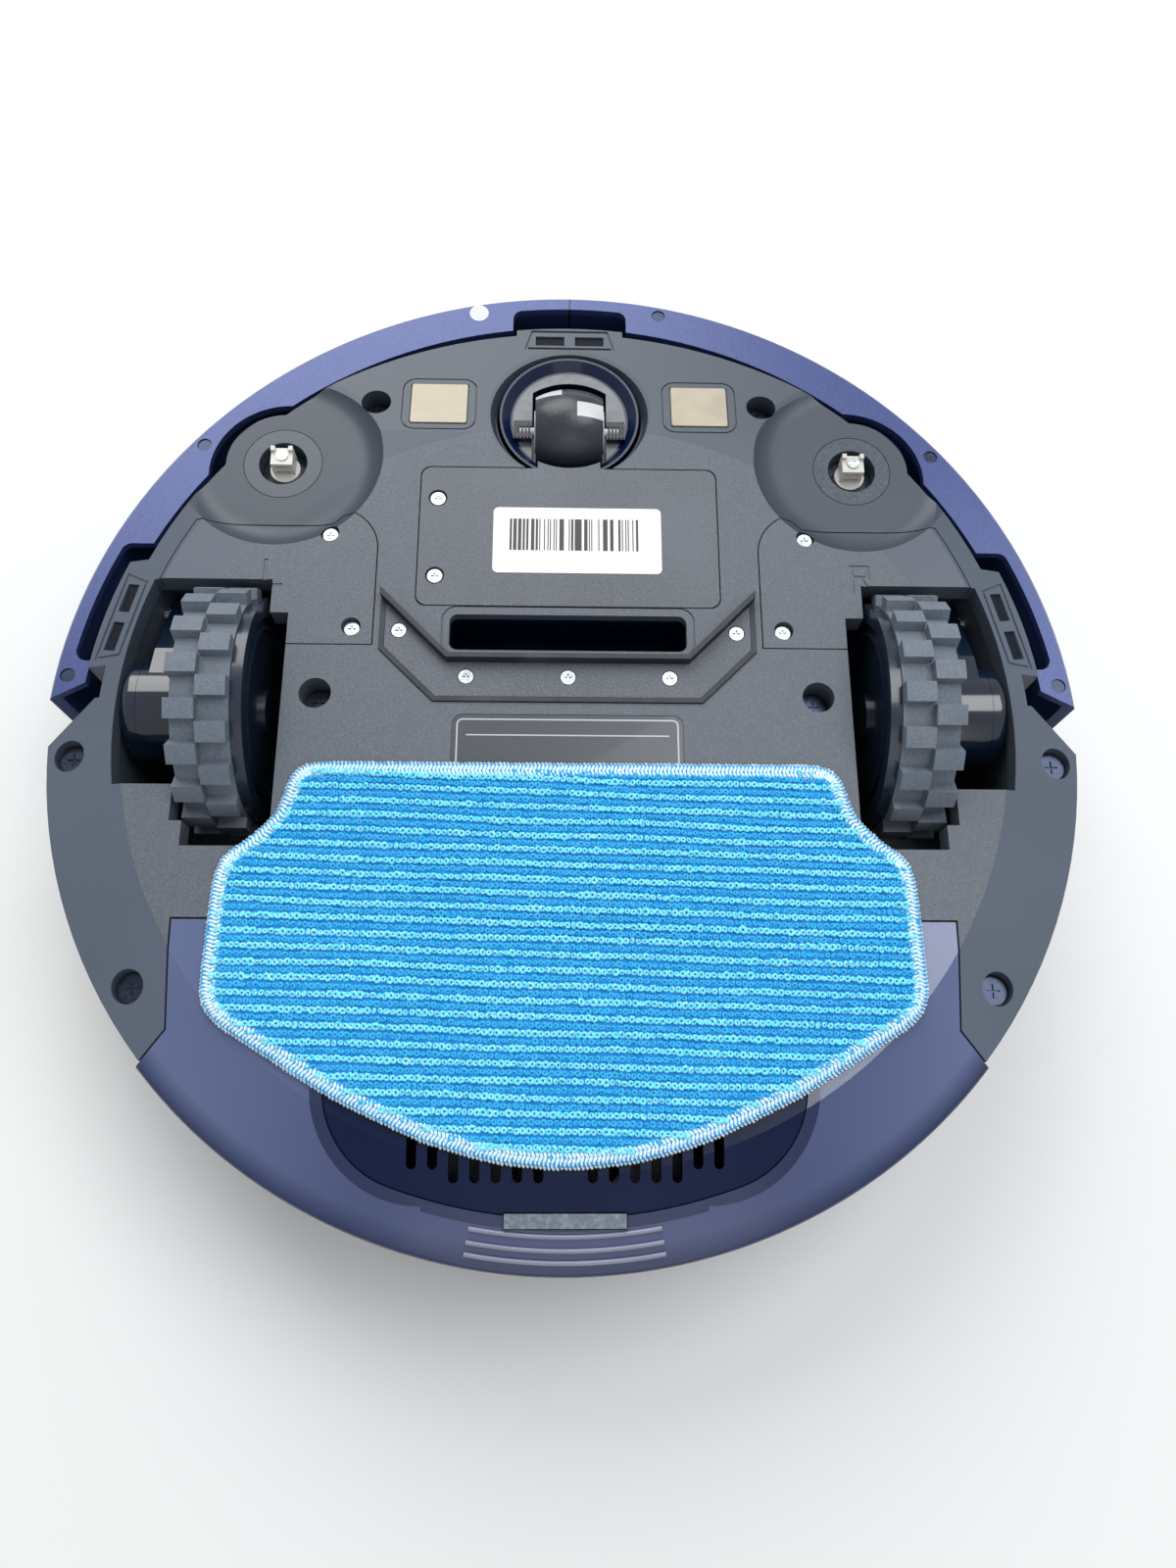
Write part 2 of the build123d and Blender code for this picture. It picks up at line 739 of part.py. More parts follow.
bumper_bottom_z = shell_z + 0.6
bumper_inner_radius = body_radius - bumper_wall
screw_circle = [
    (bumper_screw_radius * cos(radians(a)), bumper_screw_radius * sin(radians(a)))
    for a in bumper_screw_angles
]
with BuildPart() as bumper_shell:
    with BuildSketch(Plane.XY.offset(bumper_bottom_z)):
        Circle(body_radius)
        Circle(bumper_inner_radius, mode=Mode.SUBTRACT)
    extrude(amount=bumper_face_z - bumper_bottom_z)
    with BuildSketch(Plane.XY.offset(bumper_face_z - bumper_lip_thickness)):
        Circle(body_radius)
        add(bumper_void(), mode=Mode.SUBTRACT)
    extrude(amount=bumper_lip_thickness)
    with BuildSketch(Plane.XY.offset(bumper_bottom_z)):
        Circle(body_radius)
        Circle(bumper_inner_radius - 3, mode=Mode.SUBTRACT)
    extrude(amount=2)
    rim_edges = bumper_shell.edges().filter_by(GeomType.CIRCLE).filter_by(
        lambda e: abs(e.radius - body_radius) < 0.01)
    chamfer(rim_edges, rim_chamfer)
    with BuildSketch():
        add(bumper_ends())
    extrude(amount=bumper_face_z, mode=Mode.INTERSECT)
    with BuildSketch(Plane.XY.offset(window_z[0])):
        Circle(body_radius + 1)
        Circle(bumper_inner_radius - 1, mode=Mode.SUBTRACT)
        window_half = (body_radius + 10) * tan(radians(window_angle / 2))
        with BuildLine():
            Polyline((0, 0), (window_half, body_radius + 10), (-window_half, body_radius + 10),
                     close=True)
        make_face(mode=Mode.INTERSECT)
    extrude(amount=window_z[1] - window_z[0], mode=Mode.SUBTRACT)
    with Locations(*[(x, y, bumper_face_z - 1.3) for x, y in screw_circle]):
        Cylinder(bumper_screw_head + 0.15, 5, align=(Align.CENTER, Align.CENTER, Align.MIN),
                 mode=Mode.SUBTRACT)
finish(bumper_shell.part, "bumper_shell")

with BuildPart() as bumper_window:
    with BuildSketch(Plane.XY.offset(window_z[0] + 0.1)):
        Circle(body_radius - 0.3)
        Circle(bumper_inner_radius - 0.8, mode=Mode.SUBTRACT)
        with BuildLine():
            Polyline((0, 0.6), (window_half, body_radius + 10.6), (-window_half, body_radius + 10.6),
                     close=True)
        make_face(mode=Mode.INTERSECT)
    extrude(amount=window_z[1] - window_z[0] - 0.2)
finish(bumper_window.part, "bumper_window")

with BuildPart() as bumper_screws:
    with Locations(*[(x, y, bumper_face_z - 1.3) for x, y in screw_circle]):
        Cylinder(bumper_screw_head, 0.9, align=(Align.CENTER, Align.CENTER, Align.MIN))
finish(bumper_screws.part, "bumper_screws")

with BuildPart() as screw_seal:
    angle = radians(sealed_screw_angle)
    with Locations((bumper_screw_radius * cos(angle), bumper_screw_radius * sin(angle),
                    bumper_face_z)):
        Cylinder(2.9, 0.15, align=(Align.CENTER, Align.CENTER, Align.MIN))
finish(screw_seal.part, "screw_seal")


def coil(radius, wire, pitch, turns, origin, direction):
    """Helical spring from origin along direction."""
    with BuildPart() as shape:
        with BuildLine() as path:
            Helix(pitch, pitch * turns, radius, center=origin, direction=direction)
        with BuildSketch(Plane(path.wires()[0] ^ 0)):
            Circle(wire / 2)
        sweep(is_frenet=True)
    return shape.part


spring_front_y = sqrt(bumper_inner_radius ** 2 - spring_x ** 2)
spring_rear_y = sqrt(front_radius ** 2 - spring_x ** 2)
spring_length = spring_front_y - spring_rear_y - 1.8
springs = [
    coil(3, 0.8, spring_length / 5, 5, (x, spring_rear_y + 0.9, 46), (0, 1, 0))
    for x in (spring_x, -spring_x)
]
finish(Compound(children=springs), "bumper_springs")

with BuildPart() as bumper_switches:
    switch_y = sqrt(front_radius ** 2 - switch_x ** 2) + 5.5
    with Locations((switch_x, switch_y, 25), (-switch_x, switch_y, 25)):
        Box(10, 5.8, 12, align=(Align.CENTER, Align.CENTER, Align.MIN))
    add(upper_housing.part, mode=Mode.SUBTRACT)
finish(bumper_switches.part, "bumper_switches")


# Dust bin


with BuildPart() as panel_recess:
    with BuildSketch(Plane.XY.offset(cut_z)):
        add(panel_sketch(panel_gap))
    extrude(amount=30)
    add(envelope(panel_thickness), mode=Mode.SUBTRACT)

with BuildPart() as bin_hollow:
    with BuildSketch(Plane.XY.offset(bin_floor_z)):
        add(bin_sketch(-bin_wall))
        Circle(bin_radius - bin_wall, mode=Mode.INTERSECT)
    extrude(amount=plate_z - shell_z)
    add(envelope(bin_wall + 0.6), mode=Mode.INTERSECT)

with BuildPart() as bin_shell:
    with BuildSketch(Plane.XY.offset(bin_bottom_z)):
        add(bin_sketch())
    extrude(amount=plate_z - bin_bottom_z)
    add(envelope(), mode=Mode.INTERSECT)
    outer_edges = bin_shell.edges().filter_by(GeomType.CIRCLE).filter_by(
        lambda e: abs(e.radius - bin_radius) < 0.01)
    fillet(outer_edges, 1.6)
    add(bin_hollow.part, mode=Mode.SUBTRACT)
    mouth_height = mouth_z[1] - mouth_z[0]
    with Locations((0, bin_front_y, mouth_z[0] + mouth_height / 2)):
        Box(2 * mouth_half_width, 12, mouth_height, mode=Mode.SUBTRACT)
    add(panel_recess.part, mode=Mode.SUBTRACT)
    with BuildSketch(Plane.XY.offset(cut_z)):
        add(panel_sketch(-panel_ledge))
    extrude(amount=30, mode=Mode.SUBTRACT)
    with Locations((0, sum(latch_y) / 2, plate_z)):
        Box(2 * latch_half_width + 0.5, latch_y[1] - latch_y[0] + 0.5, 20, mode=Mode.SUBTRACT)
    # grip ribs on the sloped band
    for r in rib_radii:
        with BuildSketch(Plane.YZ.rotated((0, 0, -10))):
            with Locations((-r, surface_z(r))):
                Circle(rib_wire)
        revolve(axis=Axis.Z, revolution_arc=20)
finish(bin_shell.part, "bin_shell")

with BuildPart() as bin_panel:
    with BuildSketch(Plane.XY.offset(cut_z)):
        add(panel_sketch())
    extrude(amount=30)
    add(envelope(panel_drop), mode=Mode.INTERSECT)
    add(envelope(panel_thickness), mode=Mode.SUBTRACT)
    vent_x = [vent_first_x + vent_pitch * k for k in range(vents_per_side)]
    with BuildSketch(Plane.XY.offset(cut_z)):
        for x in vent_x:
            end_y = vent_end_y if x < 30 else vent_end_y + 3.1
            with Locations((x, (end_y + vent_start_y) / 2), (-x, (end_y + vent_start_y) / 2)):
                SlotOverall(vent_start_y - end_y, vent_width, rotation=90)
    extrude(amount=30, mode=Mode.SUBTRACT)
    with Locations((0, sum(latch_y) / 2, plate_z)):
        Box(2 * latch_half_width + 0.6, latch_y[1] - latch_y[0] + 0.6, 20, mode=Mode.SUBTRACT)
finish(bin_panel.part, "bin_panel")

filter_y = fan_y + fan_flange_radius + seat_gap + filter_size[1] / 2
with BuildPart() as bin_filter:
    width, depth, height = filter_size
    pleats = int((width - 2 * filter_frame) / filter_pleat)
    start_x = -pleats * filter_pleat / 2
    zigzag = [
        (start_x + filter_pleat * k, filter_y + (1.2 if k % 2 else -0.4)) for k in range(pleats + 1)
    ]
    with BuildSketch(Plane.XY.offset(bin_floor_z + seat_gap)):
        with Locations((0, filter_y)):
            Rectangle(width, depth)
            Rectangle(width - 2 * filter_frame, depth - 2 * filter_frame, mode=Mode.SUBTRACT)
        with BuildLine():
            Polyline(*zigzag, *[(x, y - 0.8) for x, y in reversed(zigzag)], close=True)
        make_face()
    extrude(amount=height)
finish(bin_filter.part, "bin_filter")

fan_seat_z = bin_floor_z + 20
with BuildPart() as fan_housing:
    with BuildSketch(Plane.XY.offset(bin_floor_z)):
        with Locations((0, fan_y)):
            Circle(13)
    extrude(amount=20)
    with BuildSketch(Plane.XY.offset(fan_seat_z)):
        with Locations((0, fan_y)):
            Circle(fan_flange_radius)
    extrude(amount=2)
    with BuildSketch(Plane.XY.offset(fan_seat_z)):
        with Locations((0, fan_y)):
            Circle(fan_flange_radius)
            Circle(fan_flange_radius - fan_wall, mode=Mode.SUBTRACT)
    extrude(amount=fan_top_z - fan_seat_z)
    with Locations((0, fan_y, bin_floor_z + 10)):
        Cylinder(1.5 + running, 40, align=(Align.CENTER, Align.CENTER, Align.MIN),
                 mode=Mode.SUBTRACT)
finish(fan_housing.part, "fan_housing")

with BuildPart() as fan_impeller:
    with BuildSketch(Plane.XY.offset(fan_seat_z + 2.6)):
        with Locations((0, fan_y)):
            Circle(fan_flange_radius - fan_wall - 1.4)
    extrude(amount=1.2)
    with BuildSketch(Plane.XY.offset(fan_seat_z + 3.8)):
        with Locations((0, fan_y)):
            Circle(4.5)
            with PolarLocations(10.4, 9):
                Rectangle(10.6, 1.2, rotation=28)
    extrude(amount=9)
    with Locations((0, fan_y, bin_floor_z + 10.4)):
        Cylinder(1.5, 20, align=(Align.CENTER, Align.CENTER, Align.MIN))
finish(fan_impeller.part, "fan_impeller")

with BuildPart() as bin_latch:
    latch_top_z = surface_z(-latch_y[1]) - 0.1
    with BuildSketch(Plane.XY.offset(seam_z)):
        with Locations((0, sum(latch_y) / 2)):
            Rectangle(2 * latch_half_width, latch_y[1] - latch_y[0])
    extrude(amount=latch_top_z - seam_z)
    with BuildSketch(Plane.XY.offset(seam_z)):
        with Locations((0, sum(latch_y) / 2)):
            Rectangle(2 * latch_half_width + 3, latch_y[1] - latch_y[0] + 1.6)
    extrude(amount=1.2)
finish(bin_latch.part, "bin_latch")

with BuildPart() as mop_cloth:
    half = [
        (0, -15.4), (68, -15.4), (71.8, -19.5), (73, -28), (80, -35.6), (87.3, -41), (88.4, -48),
        (89, -76), (86, -81), (56, -99), (34, -109), (17, -113.8), (0, -115.4),
    ]
    with BuildSketch(Plane.XY.offset(plate_z + 0.35)):
        with BuildLine():
            Polyline(*half, *[(-x, y) for x, y in reversed(half[1:-1])], close=True)
        make_face()
    extrude(amount=3)
finish(mop_cloth.part, "mop_cloth")


# Wheel modules, made on the right and mirrored to the left


def wheel_plane(x):
    return Plane(origin=(x, 0, 0), x_dir=(0, 1, 0), z_dir=(1, 0, 0))


def pair(piece, name):
    finish(piece, f"right_{name}")
    finish(mirror(piece, about=Plane.YZ), f"left_{name}")


wheel_outer_x = wheel_inner_x + wheel_width
tread_start_x = wheel_inner_x + tread_inset
with BuildPart() as tyre:
    with BuildSketch(wheel_plane(tread_start_x)):
        with Locations((wheel_y, wheel_z)):
            Circle(tread_radius)
            Circle(hub_radius + 0.02, mode=Mode.SUBTRACT)
    extrude(amount=wheel_outer_x - 0.7 - tread_start_x)
    row_width = (wheel_outer_x - tread_start_x) / 2
    for row in range(2):
        with BuildSketch(wheel_plane(tread_start_x + row * row_width + 0.05)):
            with BuildSketch(mode=Mode.PRIVATE) as blocks:
                with PolarLocations(wheel_radius - 2.2, blocks_per_row,
                                    start_angle=180 * row / blocks_per_row):
                    Rectangle(4.4, block_length)
                Circle(wheel_radius, mode=Mode.INTERSECT)
            with Locations((wheel_y, wheel_z)):
                add(blocks.sketch)
        extrude(amount=row_width - 0.1)
pair(tyre.part, "tyre")

with BuildPart() as wheel_hub:
    with BuildSketch(wheel_plane(wheel_inner_x + 1.2)):
        with Locations((wheel_y, wheel_z)):
            Circle(hub_radius)
    extrude(amount=wheel_width - 2.4)
    with BuildSketch(wheel_plane(wheel_inner_x)):
        with Locations((wheel_y, wheel_z)):
            Circle(hub_flange_radius)
            Circle(hub_radius - 2.4, mode=Mode.SUBTRACT)
    extrude(amount=tread_inset - 0.05)
    with BuildSketch(wheel_plane(wheel_inner_x + 4)):
        with Locations((wheel_y, wheel_z)):
            Circle(hub_radius - 2.4)
            Circle(7, mode=Mode.SUBTRACT)
    extrude(amount=wheel_width, mode=Mode.SUBTRACT)
    # stepped rings and centre boss on the face towards the middle of the robot
    with BuildSketch(wheel_plane(wheel_inner_x)):
        with Locations((wheel_y, wheel_z)):
            Circle(hub_radius)
            Circle(hub_radius - 1.6, mode=Mode.SUBTRACT)
            Circle(hub_radius - 5)
            Circle(hub_radius - 5.6, mode=Mode.SUBTRACT)
            Circle(6.4)
    extrude(amount=1.3)
    with BuildSketch(wheel_plane(wheel_inner_x + 2.8)):
        with Locations((wheel_y, wheel_z)):
            Circle(axle_radius + 0.02)
    extrude(amount=30, mode=Mode.SUBTRACT)
pair(wheel_hub.part, "wheel_hub")

with BuildPart() as wheel_axle:
    with BuildSketch(wheel_plane(wheel_inner_x + 2.8)):
        with Locations((wheel_y, wheel_z)):
            Circle(axle_radius)
    extrude(amount=gearbox_inner_x + 4.2 - wheel_inner_x - 2.8)
pair(wheel_axle.part, "wheel_axle")

with BuildPart() as wheel_gearbox:
    with BuildSketch(wheel_plane(gearbox_inner_x)):
        with Locations((wheel_y, wheel_z)):
            Circle(gearbox_radius)
    extrude(amount=gearbox_seam_x - gearbox_inner_x)
    # arm from the gearbox to the pivot
    with BuildSketch(wheel_plane(gearbox_inner_x + 0.9)):
        with BuildLine():
            Polyline(
                (wheel_y + 6, wheel_z + 12.6), (wheel_y + 14.5, wheel_z + 10.2),
                (pivot_y + 1, pivot_z + arm_boss_radius - 0.1), (pivot_y - 1, pivot_z - 4.7),
                (wheel_y + 8, wheel_z - 11.4), close=True,
            )
        make_face()
        with Locations((pivot_y, pivot_z)):
            Circle(arm_boss_radius)
    extrude(amount=arm_outer_x - gearbox_inner_x - 0.9)
    with BuildSketch(wheel_plane(gearbox_inner_x + 1.6)):
        with Locations((wheel_y, wheel_z)):
            Circle(gearbox_radius - 1.6)
    extrude(amount=20, mode=Mode.SUBTRACT)
    with BuildSketch(wheel_plane(gearbox_inner_x - 5)):
        with Locations((wheel_y, wheel_z)):
            Circle(axle_radius + running)
        with Locations((pivot_y, pivot_z)):
            Circle(pivot_radius + running)
    extrude(amount=30, mode=Mode.SUBTRACT)
pair(wheel_gearbox.part, "wheel_gearbox")

with BuildPart() as drive_motor:
    with BuildSketch(wheel_plane(gearbox_inner_x + 4.6)):
        with Locations((wheel_y, wheel_z)):
            Circle(gearbox_radius - 1.7)
    extrude(amount=gearbox_seam_x - gearbox_inner_x - 4.7)
    chamfer(drive_motor.edges().filter_by(GeomType.CIRCLE), 0.8)
pair(drive_motor.part, "drive_motor")

with BuildPart() as gearbox_cover:
    with BuildSketch(wheel_plane(gearbox_seam_x + 0.1)):
        with Locations((wheel_y, wheel_z)):
            Circle(gearbox_radius)
    extrude(amount=gearbox_outer_x - gearbox_seam_x - 0.1)
    fillet(gearbox_cover.faces().sort_by(Axis.X)[-1].edges(), 2)
pair(gearbox_cover.part, "gearbox_cover")

pin_start_x = gearbox_inner_x - 1.2
with BuildPart() as pivot_pins:
    with BuildSketch(wheel_plane(pin_start_x)):
        with Locations((pivot_y, pivot_z)):
            Circle(pivot_radius)
    extrude(amount=pin_end_x - pin_start_x)
    mirror(about=Plane.YZ)
finish(pivot_pins.part, "pivot_pins")

spring_start_x = arm_outer_x + 0.5
with BuildPart() as suspension_springs:
    add(coil(2.9, 0.6, 0.75, 1.4, (spring_start_x, pivot_y, pivot_z), (1, 0, 0)))
    mirror(about=Plane.YZ)
finish(suspension_springs.part, "suspension_springs")


# Castor

castor_plane = wheel_plane(0)
with BuildPart() as castor_swivel:
    with BuildSketch(Plane.XY.offset(castor_floor_z + 0.4)):
        with Locations((0, castor_y)):
            Circle(castor_disc_radius)
    extrude(amount=castor_flat_z + 2.4 - castor_floor_z - 0.4)
    with Locations((0, castor_y, castor_flat_z)):
        Cone(castor_flat_radius, castor_disc_radius - 0.6, 2.5,
             align=(Align.CENTER, Align.CENTER, Align.MIN), mode=Mode.SUBTRACT)
    # slot for the wheel, with a round front end
    with BuildSketch(Plane.XY.offset(castor_wheel_z - castor_wheel_radius - 0.6)):
        with Locations((0, castor_y)):
            Circle(castor_trail + castor_wheel_radius + 0.7)
        with Locations((0, castor_y - castor_slot_offset)):
            Circle(castor_slot_radius, mode=Mode.INTERSECT)
            Rectangle(2 * castor_slot_half_width, far, mode=Mode.INTERSECT)
    extrude(amount=30, mode=Mode.SUBTRACT)
    # clips for the axle stubs
    with BuildSketch(castor_plane):
        with Locations((castor_wheel_y, castor_wheel_z - 0.9)):
            Rectangle(clip_length, 4.4)
    extrude(amount=castor_slot_half_width + 5.4, both=True)
    with BuildSketch(castor_plane):
        with Locations((castor_wheel_y, castor_wheel_z)):
            Circle(castor_axle_radius + running)
        with Locations((castor_wheel_y, castor_wheel_z + 2)):
            Rectangle(2 * castor_axle_radius - 0.3, 4)
    extrude(amount=castor_slot_half_width + 4.2, both=True, mode=Mode.SUBTRACT)
    with Locations((0, castor_wheel_y, castor_wheel_z)):
        Box(2 * castor_slot_half_width, clip_length + 2, 12, mode=Mode.SUBTRACT)
    with Locations((0, castor_y, castor_stem_z)):
        Cylinder(castor_stem_radius, castor_floor_z + 1 - castor_stem_z,
                 align=(Align.CENTER, Align.CENTER, Align.MIN))
finish(castor_swivel.part, "castor_swivel")

with BuildPart() as castor_barrel:
    w = castor_wheel_half_width
    r = castor_wheel_radius
    with BuildSketch(Plane.XY):
        with BuildLine():
            Line((-w, 0), (-w, r - 2.4))
            ThreePointArc((-w, r - 2.4), (0, r), (w, r - 2.4))
            Polyline((w, r - 2.4), (w, 0), (-w, 0))
        make_face()
    revolve(axis=Axis.X)
barrel = castor_barrel.part.moved(Location((0, castor_wheel_y, castor_wheel_z)))
with BuildPart() as castor_patches:
    with Locations((6.2, castor_wheel_y, castor_wheel_z + 8)):
        Box(8, 4.8, 10)
    with Locations((-6.2, castor_wheel_y + 7.6, castor_wheel_z + 6)):
        Box(8, 4.8, 10)
with BuildPart() as patch_skin:
    add(castor_patches.part)
    add(barrel, mode=Mode.INTERSECT)

with BuildPart() as castor_core:
    with BuildSketch(castor_plane):
        with Locations((castor_wheel_y, castor_wheel_z)):
            Circle(castor_core_radius)
    extrude(amount=castor_wheel_half_width + 0.4, both=True)
    add(patch_skin.part)
    with BuildSketch(castor_plane):
        with Locations((castor_wheel_y, castor_wheel_z)):
            Circle(castor_axle_radius)
    extrude(amount=castor_slot_half_width + 3.6, both=True)
finish(castor_core.part, "castor_core")
with BuildPart() as castor_tyre:
    add(barrel)
    add(castor_patches.part, mode=Mode.SUBTRACT)
    with BuildSketch(castor_plane):
        with Locations((castor_wheel_y, castor_wheel_z)):
            Circle(castor_core_radius)
    extrude(amount=20, both=True, mode=Mode.SUBTRACT)
finish(castor_tyre.part, "castor_tyre")


# Side brush drives

with BuildPart() as brush_motor:
    with BuildSketch(Plane.XY.offset(brush_motor_z)):
        with Locations((brush_x, brush_y)):
            Circle(brush_motor_radius)
    extrude(amount=plate_z - pad_thickness - brush_motor_z)
    with BuildSketch(Plane.XY.offset(shaft_z - 0.3)):
        with Locations((brush_x, brush_y)):
            Circle(bezel_hole_radius)
    extrude(amount=10, mode=Mode.SUBTRACT)
    with BuildSketch(Plane.XY.offset(plate_z - 24)):
        with Locations((brush_x, brush_y)):
            Circle(brush_spindle_radius + running)
    extrude(amount=30, mode=Mode.SUBTRACT)
pair(brush_motor.part, "brush_motor")

with BuildPart() as brush_bezels:
    with BuildSketch(Plane.XY.offset(bowl_floor_z - 1)):
        with Locations((brush_x, brush_y), (-brush_x, brush_y)):
            Circle(bezel_radius)
            Circle(bezel_hole_radius, mode=Mode.SUBTRACT)
    extrude(amount=1)
finish(brush_bezels.part, "brush_bezels")

with BuildPart() as brush_shaft:
    with BuildSketch(Plane.XY.offset(shaft_z)):
        with Locations((brush_x, brush_y)):
            Circle(4.3)
    extrude(amount=3)
    with BuildSketch(Plane.XY.offset(shaft_z + 3)):
        with Locations((brush_x, brush_y + 1)):
            Rectangle(*shaft_block[:2])
    extrude(amount=shaft_block[2])
    shaft_top_z = shaft_z + 3 + shaft_block[2]
    with BuildSketch(Plane.XY.offset(shaft_top_z)):
        with Locations((brush_x - 2.5, brush_y + 3), (brush_x + 2.5, brush_y + 3)):
            Rectangle(1.2, 1.4)
    extrude(amount=1.2)
    # two snap slots on the rear of the block
    with BuildSketch(Plane.XZ.offset(-brush_y)):
        with Locations((brush_x, shaft_z + 4.1), (brush_x, shaft_z + 6.3)):
            Rectangle(4, 1.1)
    extrude(amount=4, mode=Mode.SUBTRACT)
    with Locations((brush_x, brush_y + 1.2, shaft_top_z - 0.5)):
        Cylinder(1.75, 3, align=(Align.CENTER, Align.CENTER, Align.MIN), mode=Mode.SUBTRACT)
    with BuildSketch(Plane.XY.offset(plate_z - 23.4)):
        with Locations((brush_x, brush_y)):
            Circle(brush_spindle_radius)
    extrude(amount=15)
pair(brush_shaft.part, "brush_shaft")

with BuildPart() as brush_screw:
    with Locations((brush_x, brush_y + 1.2, shaft_top_z - 0.5)):
        Cylinder(1.7, 0.9, align=(Align.CENTER, Align.CENTER, Align.MIN))
pair(brush_screw.part, "brush_screw")


# Covers and battery

with BuildPart() as battery_cover:
    with BuildSketch(Plane.XY.offset(plate_z - cover_thickness)):
        add(battery_cover_sketch())
    extrude(amount=cover_thickness)
    cover_spots = [(x, y, plate_z - shallow_counterbore) for x, y in cover_screw_spots[:2]]
    with Locations(*cover_spots):
        Cylinder(counterbore_radius, 5, align=(Align.CENTER, Align.CENTER, Align.MIN),
                 mode=Mode.SUBTRACT)
        Cylinder(small_screw_hole, 20, mode=Mode.SUBTRACT)
finish(battery_cover.part, "battery_cover")

with BuildPart() as battery_pack:
    bx, by, bz = battery_size
    pack_bottom_z = plate_z - cover_thickness - bz - 1
    with BuildSketch(wheel_plane(-bx / 2)):
        with Locations((battery_cover_y - 0.7, pack_bottom_z + bz / 2)):
            RectangleRounded(by, bz, 9)
    extrude(amount=bx)
finish(battery_pack.part, "battery_pack")


def side_letter(name):
    """An R or an L for the engraving beside each wheel."""
    width, height, stroke = letter_size
    with BuildSketch() as shape:
        with Locations((-width / 2 + stroke / 2, 0)):
            Rectangle(stroke, height)
        if name == "right":
            with Locations((0, height / 4)):
                Rectangle(width, height / 2)
                Rectangle(width - 2 * stroke, height / 2 - 2 * stroke, mode=Mode.SUBTRACT)
            with Locations((width / 4, -height / 4)):
                Rectangle(stroke, height / 2 + stroke, rotation=25)
        else:
            with Locations((0, -height / 2 + stroke / 2)):
                Rectangle(width, stroke)
    return shape.sketch


with BuildPart() as plain_cover:
    with BuildSketch(Plane.XY.offset(plate_z - wheel_cover_thickness)):
        add(wheel_cover_sketch(-1))
        add(opening_sketch(-1), mode=Mode.SUBTRACT)
    extrude(amount=wheel_cover_thickness)
    add(envelope(), mode=Mode.INTERSECT)
    add(bowl.moved(Location((-brush_x, bowl_y, 0))), mode=Mode.SUBTRACT)
    left_spots = [(x, y) for x, y in cover_screw_spots[2:] if x < 0]
    with Locations(*[(x, y, plate_z - counterbore_depth) for x, y in left_spots]):
        Cylinder(counterbore_radius, 8, align=(Align.CENTER, Align.CENTER, Align.MIN),
                 mode=Mode.SUBTRACT)
        Cylinder(small_screw_hole, 20, mode=Mode.SUBTRACT)

for side, name in ((1, "right"), (-1, "left")):
    with BuildPart() as wheel_cover:
        add(plain_cover.part if side < 0 else mirror(plain_cover.part, about=Plane.YZ,
                                                     mode=Mode.PRIVATE))
        with BuildSketch(Plane.XY.offset(plate_z - letter_depth)):
            add(side_letter(name).moved(Location((side * letter_x, letter_y, 0))))
        extrude(amount=5, mode=Mode.SUBTRACT)
    finish(wheel_cover.part, f"{name}_wheel_cover")


def screws(spots, head_z, head_radius, head_height, shank_radius, shank_length):
    """Round-headed screws with a cross recess, heads up."""
    with BuildPart() as shape:
        with Locations(*[(x, y, head_z) for x, y in spots]):
            Cylinder(head_radius, head_height, align=(Align.CENTER, Align.CENTER, Align.MIN))
            Cylinder(shank_radius, shank_length, align=(Align.CENTER, Align.CENTER, Align.MAX))
        with BuildSketch(Plane.XY.offset(head_z + head_height - 0.5)):
            with Locations(*spots):
                Rectangle(head_radius, 0.45)
                Rectangle(0.45, head_radius)
        extrude(amount=1, mode=Mode.SUBTRACT)
    return shape.part


finish(screws(posts, post_seat_z, 3.6, 2, 1.5, 9), "chassis_screws")
finish(Compound(children=[
    screws(cover_screw_spots[:2], plate_z - shallow_counterbore, *small_head, 1.1, 5),
    screws(cover_screw_spots[2:], plate_z - counterbore_depth, *small_head, 1.1, 5),
]), "cover_screws")
finish(screws(frame_screw_spots, plate_z - 0.5, 2, 0.9, 1.1, 5), "inlet_screws")


# Suction inlet

blade_top_z = plate_z + 3.8
blade_thickness = 1.3
with BuildPart() as inlet_squeegee:
    with BuildSketch(Plane.XY.offset(plate_z - 1.8)):
        add(retainer_sketch())
    extrude(amount=0.8)
    with BuildSketch(Plane.XY.offset(plate_z - 1)):
        add(retainer_sketch())
        add(retainer_sketch(-blade_thickness), mode=Mode.SUBTRACT)
    extrude(amount=1.6)
    # upright blade along the inside of the V
    with BuildSketch(Plane.XY.offset(plate_z + 0.6)):
        with BuildLine():
            Polyline(
                (-51, 34.6), (-32, 15.2), (32, 15.2), (51, 34.6), (51, 32.7),
                (32.6, 15.2 - blade_thickness), (-32.6, 15.2 - blade_thickness), (-51, 32.7),
                close=True,
            )
        make_face()
    extrude(amount=blade_top_z - plate_z - 0.6)
    with Locations(*[(x, y, plate_z) for x, y in frame_screw_spots]):
        Cylinder(1.25, 20, mode=Mode.SUBTRACT)
finish(inlet_squeegee.part, "inlet_squeegee")

with BuildPart() as inlet_frame:
    with BuildSketch(Plane.XY.offset(plate_z - 1)):
        add(retainer_sketch(-blade_thickness - 0.1))
    extrude(amount=1.5)
    with Locations(*[(x, y, plate_z - 0.5) for x, y in frame_screw_spots]):
        Cylinder(2.25, 5, align=(Align.CENTER, Align.CENTER, Align.MIN), mode=Mode.SUBTRACT)
        Cylinder(1.25, 20, mode=Mode.SUBTRACT)
finish(inlet_frame.part, "inlet_frame")

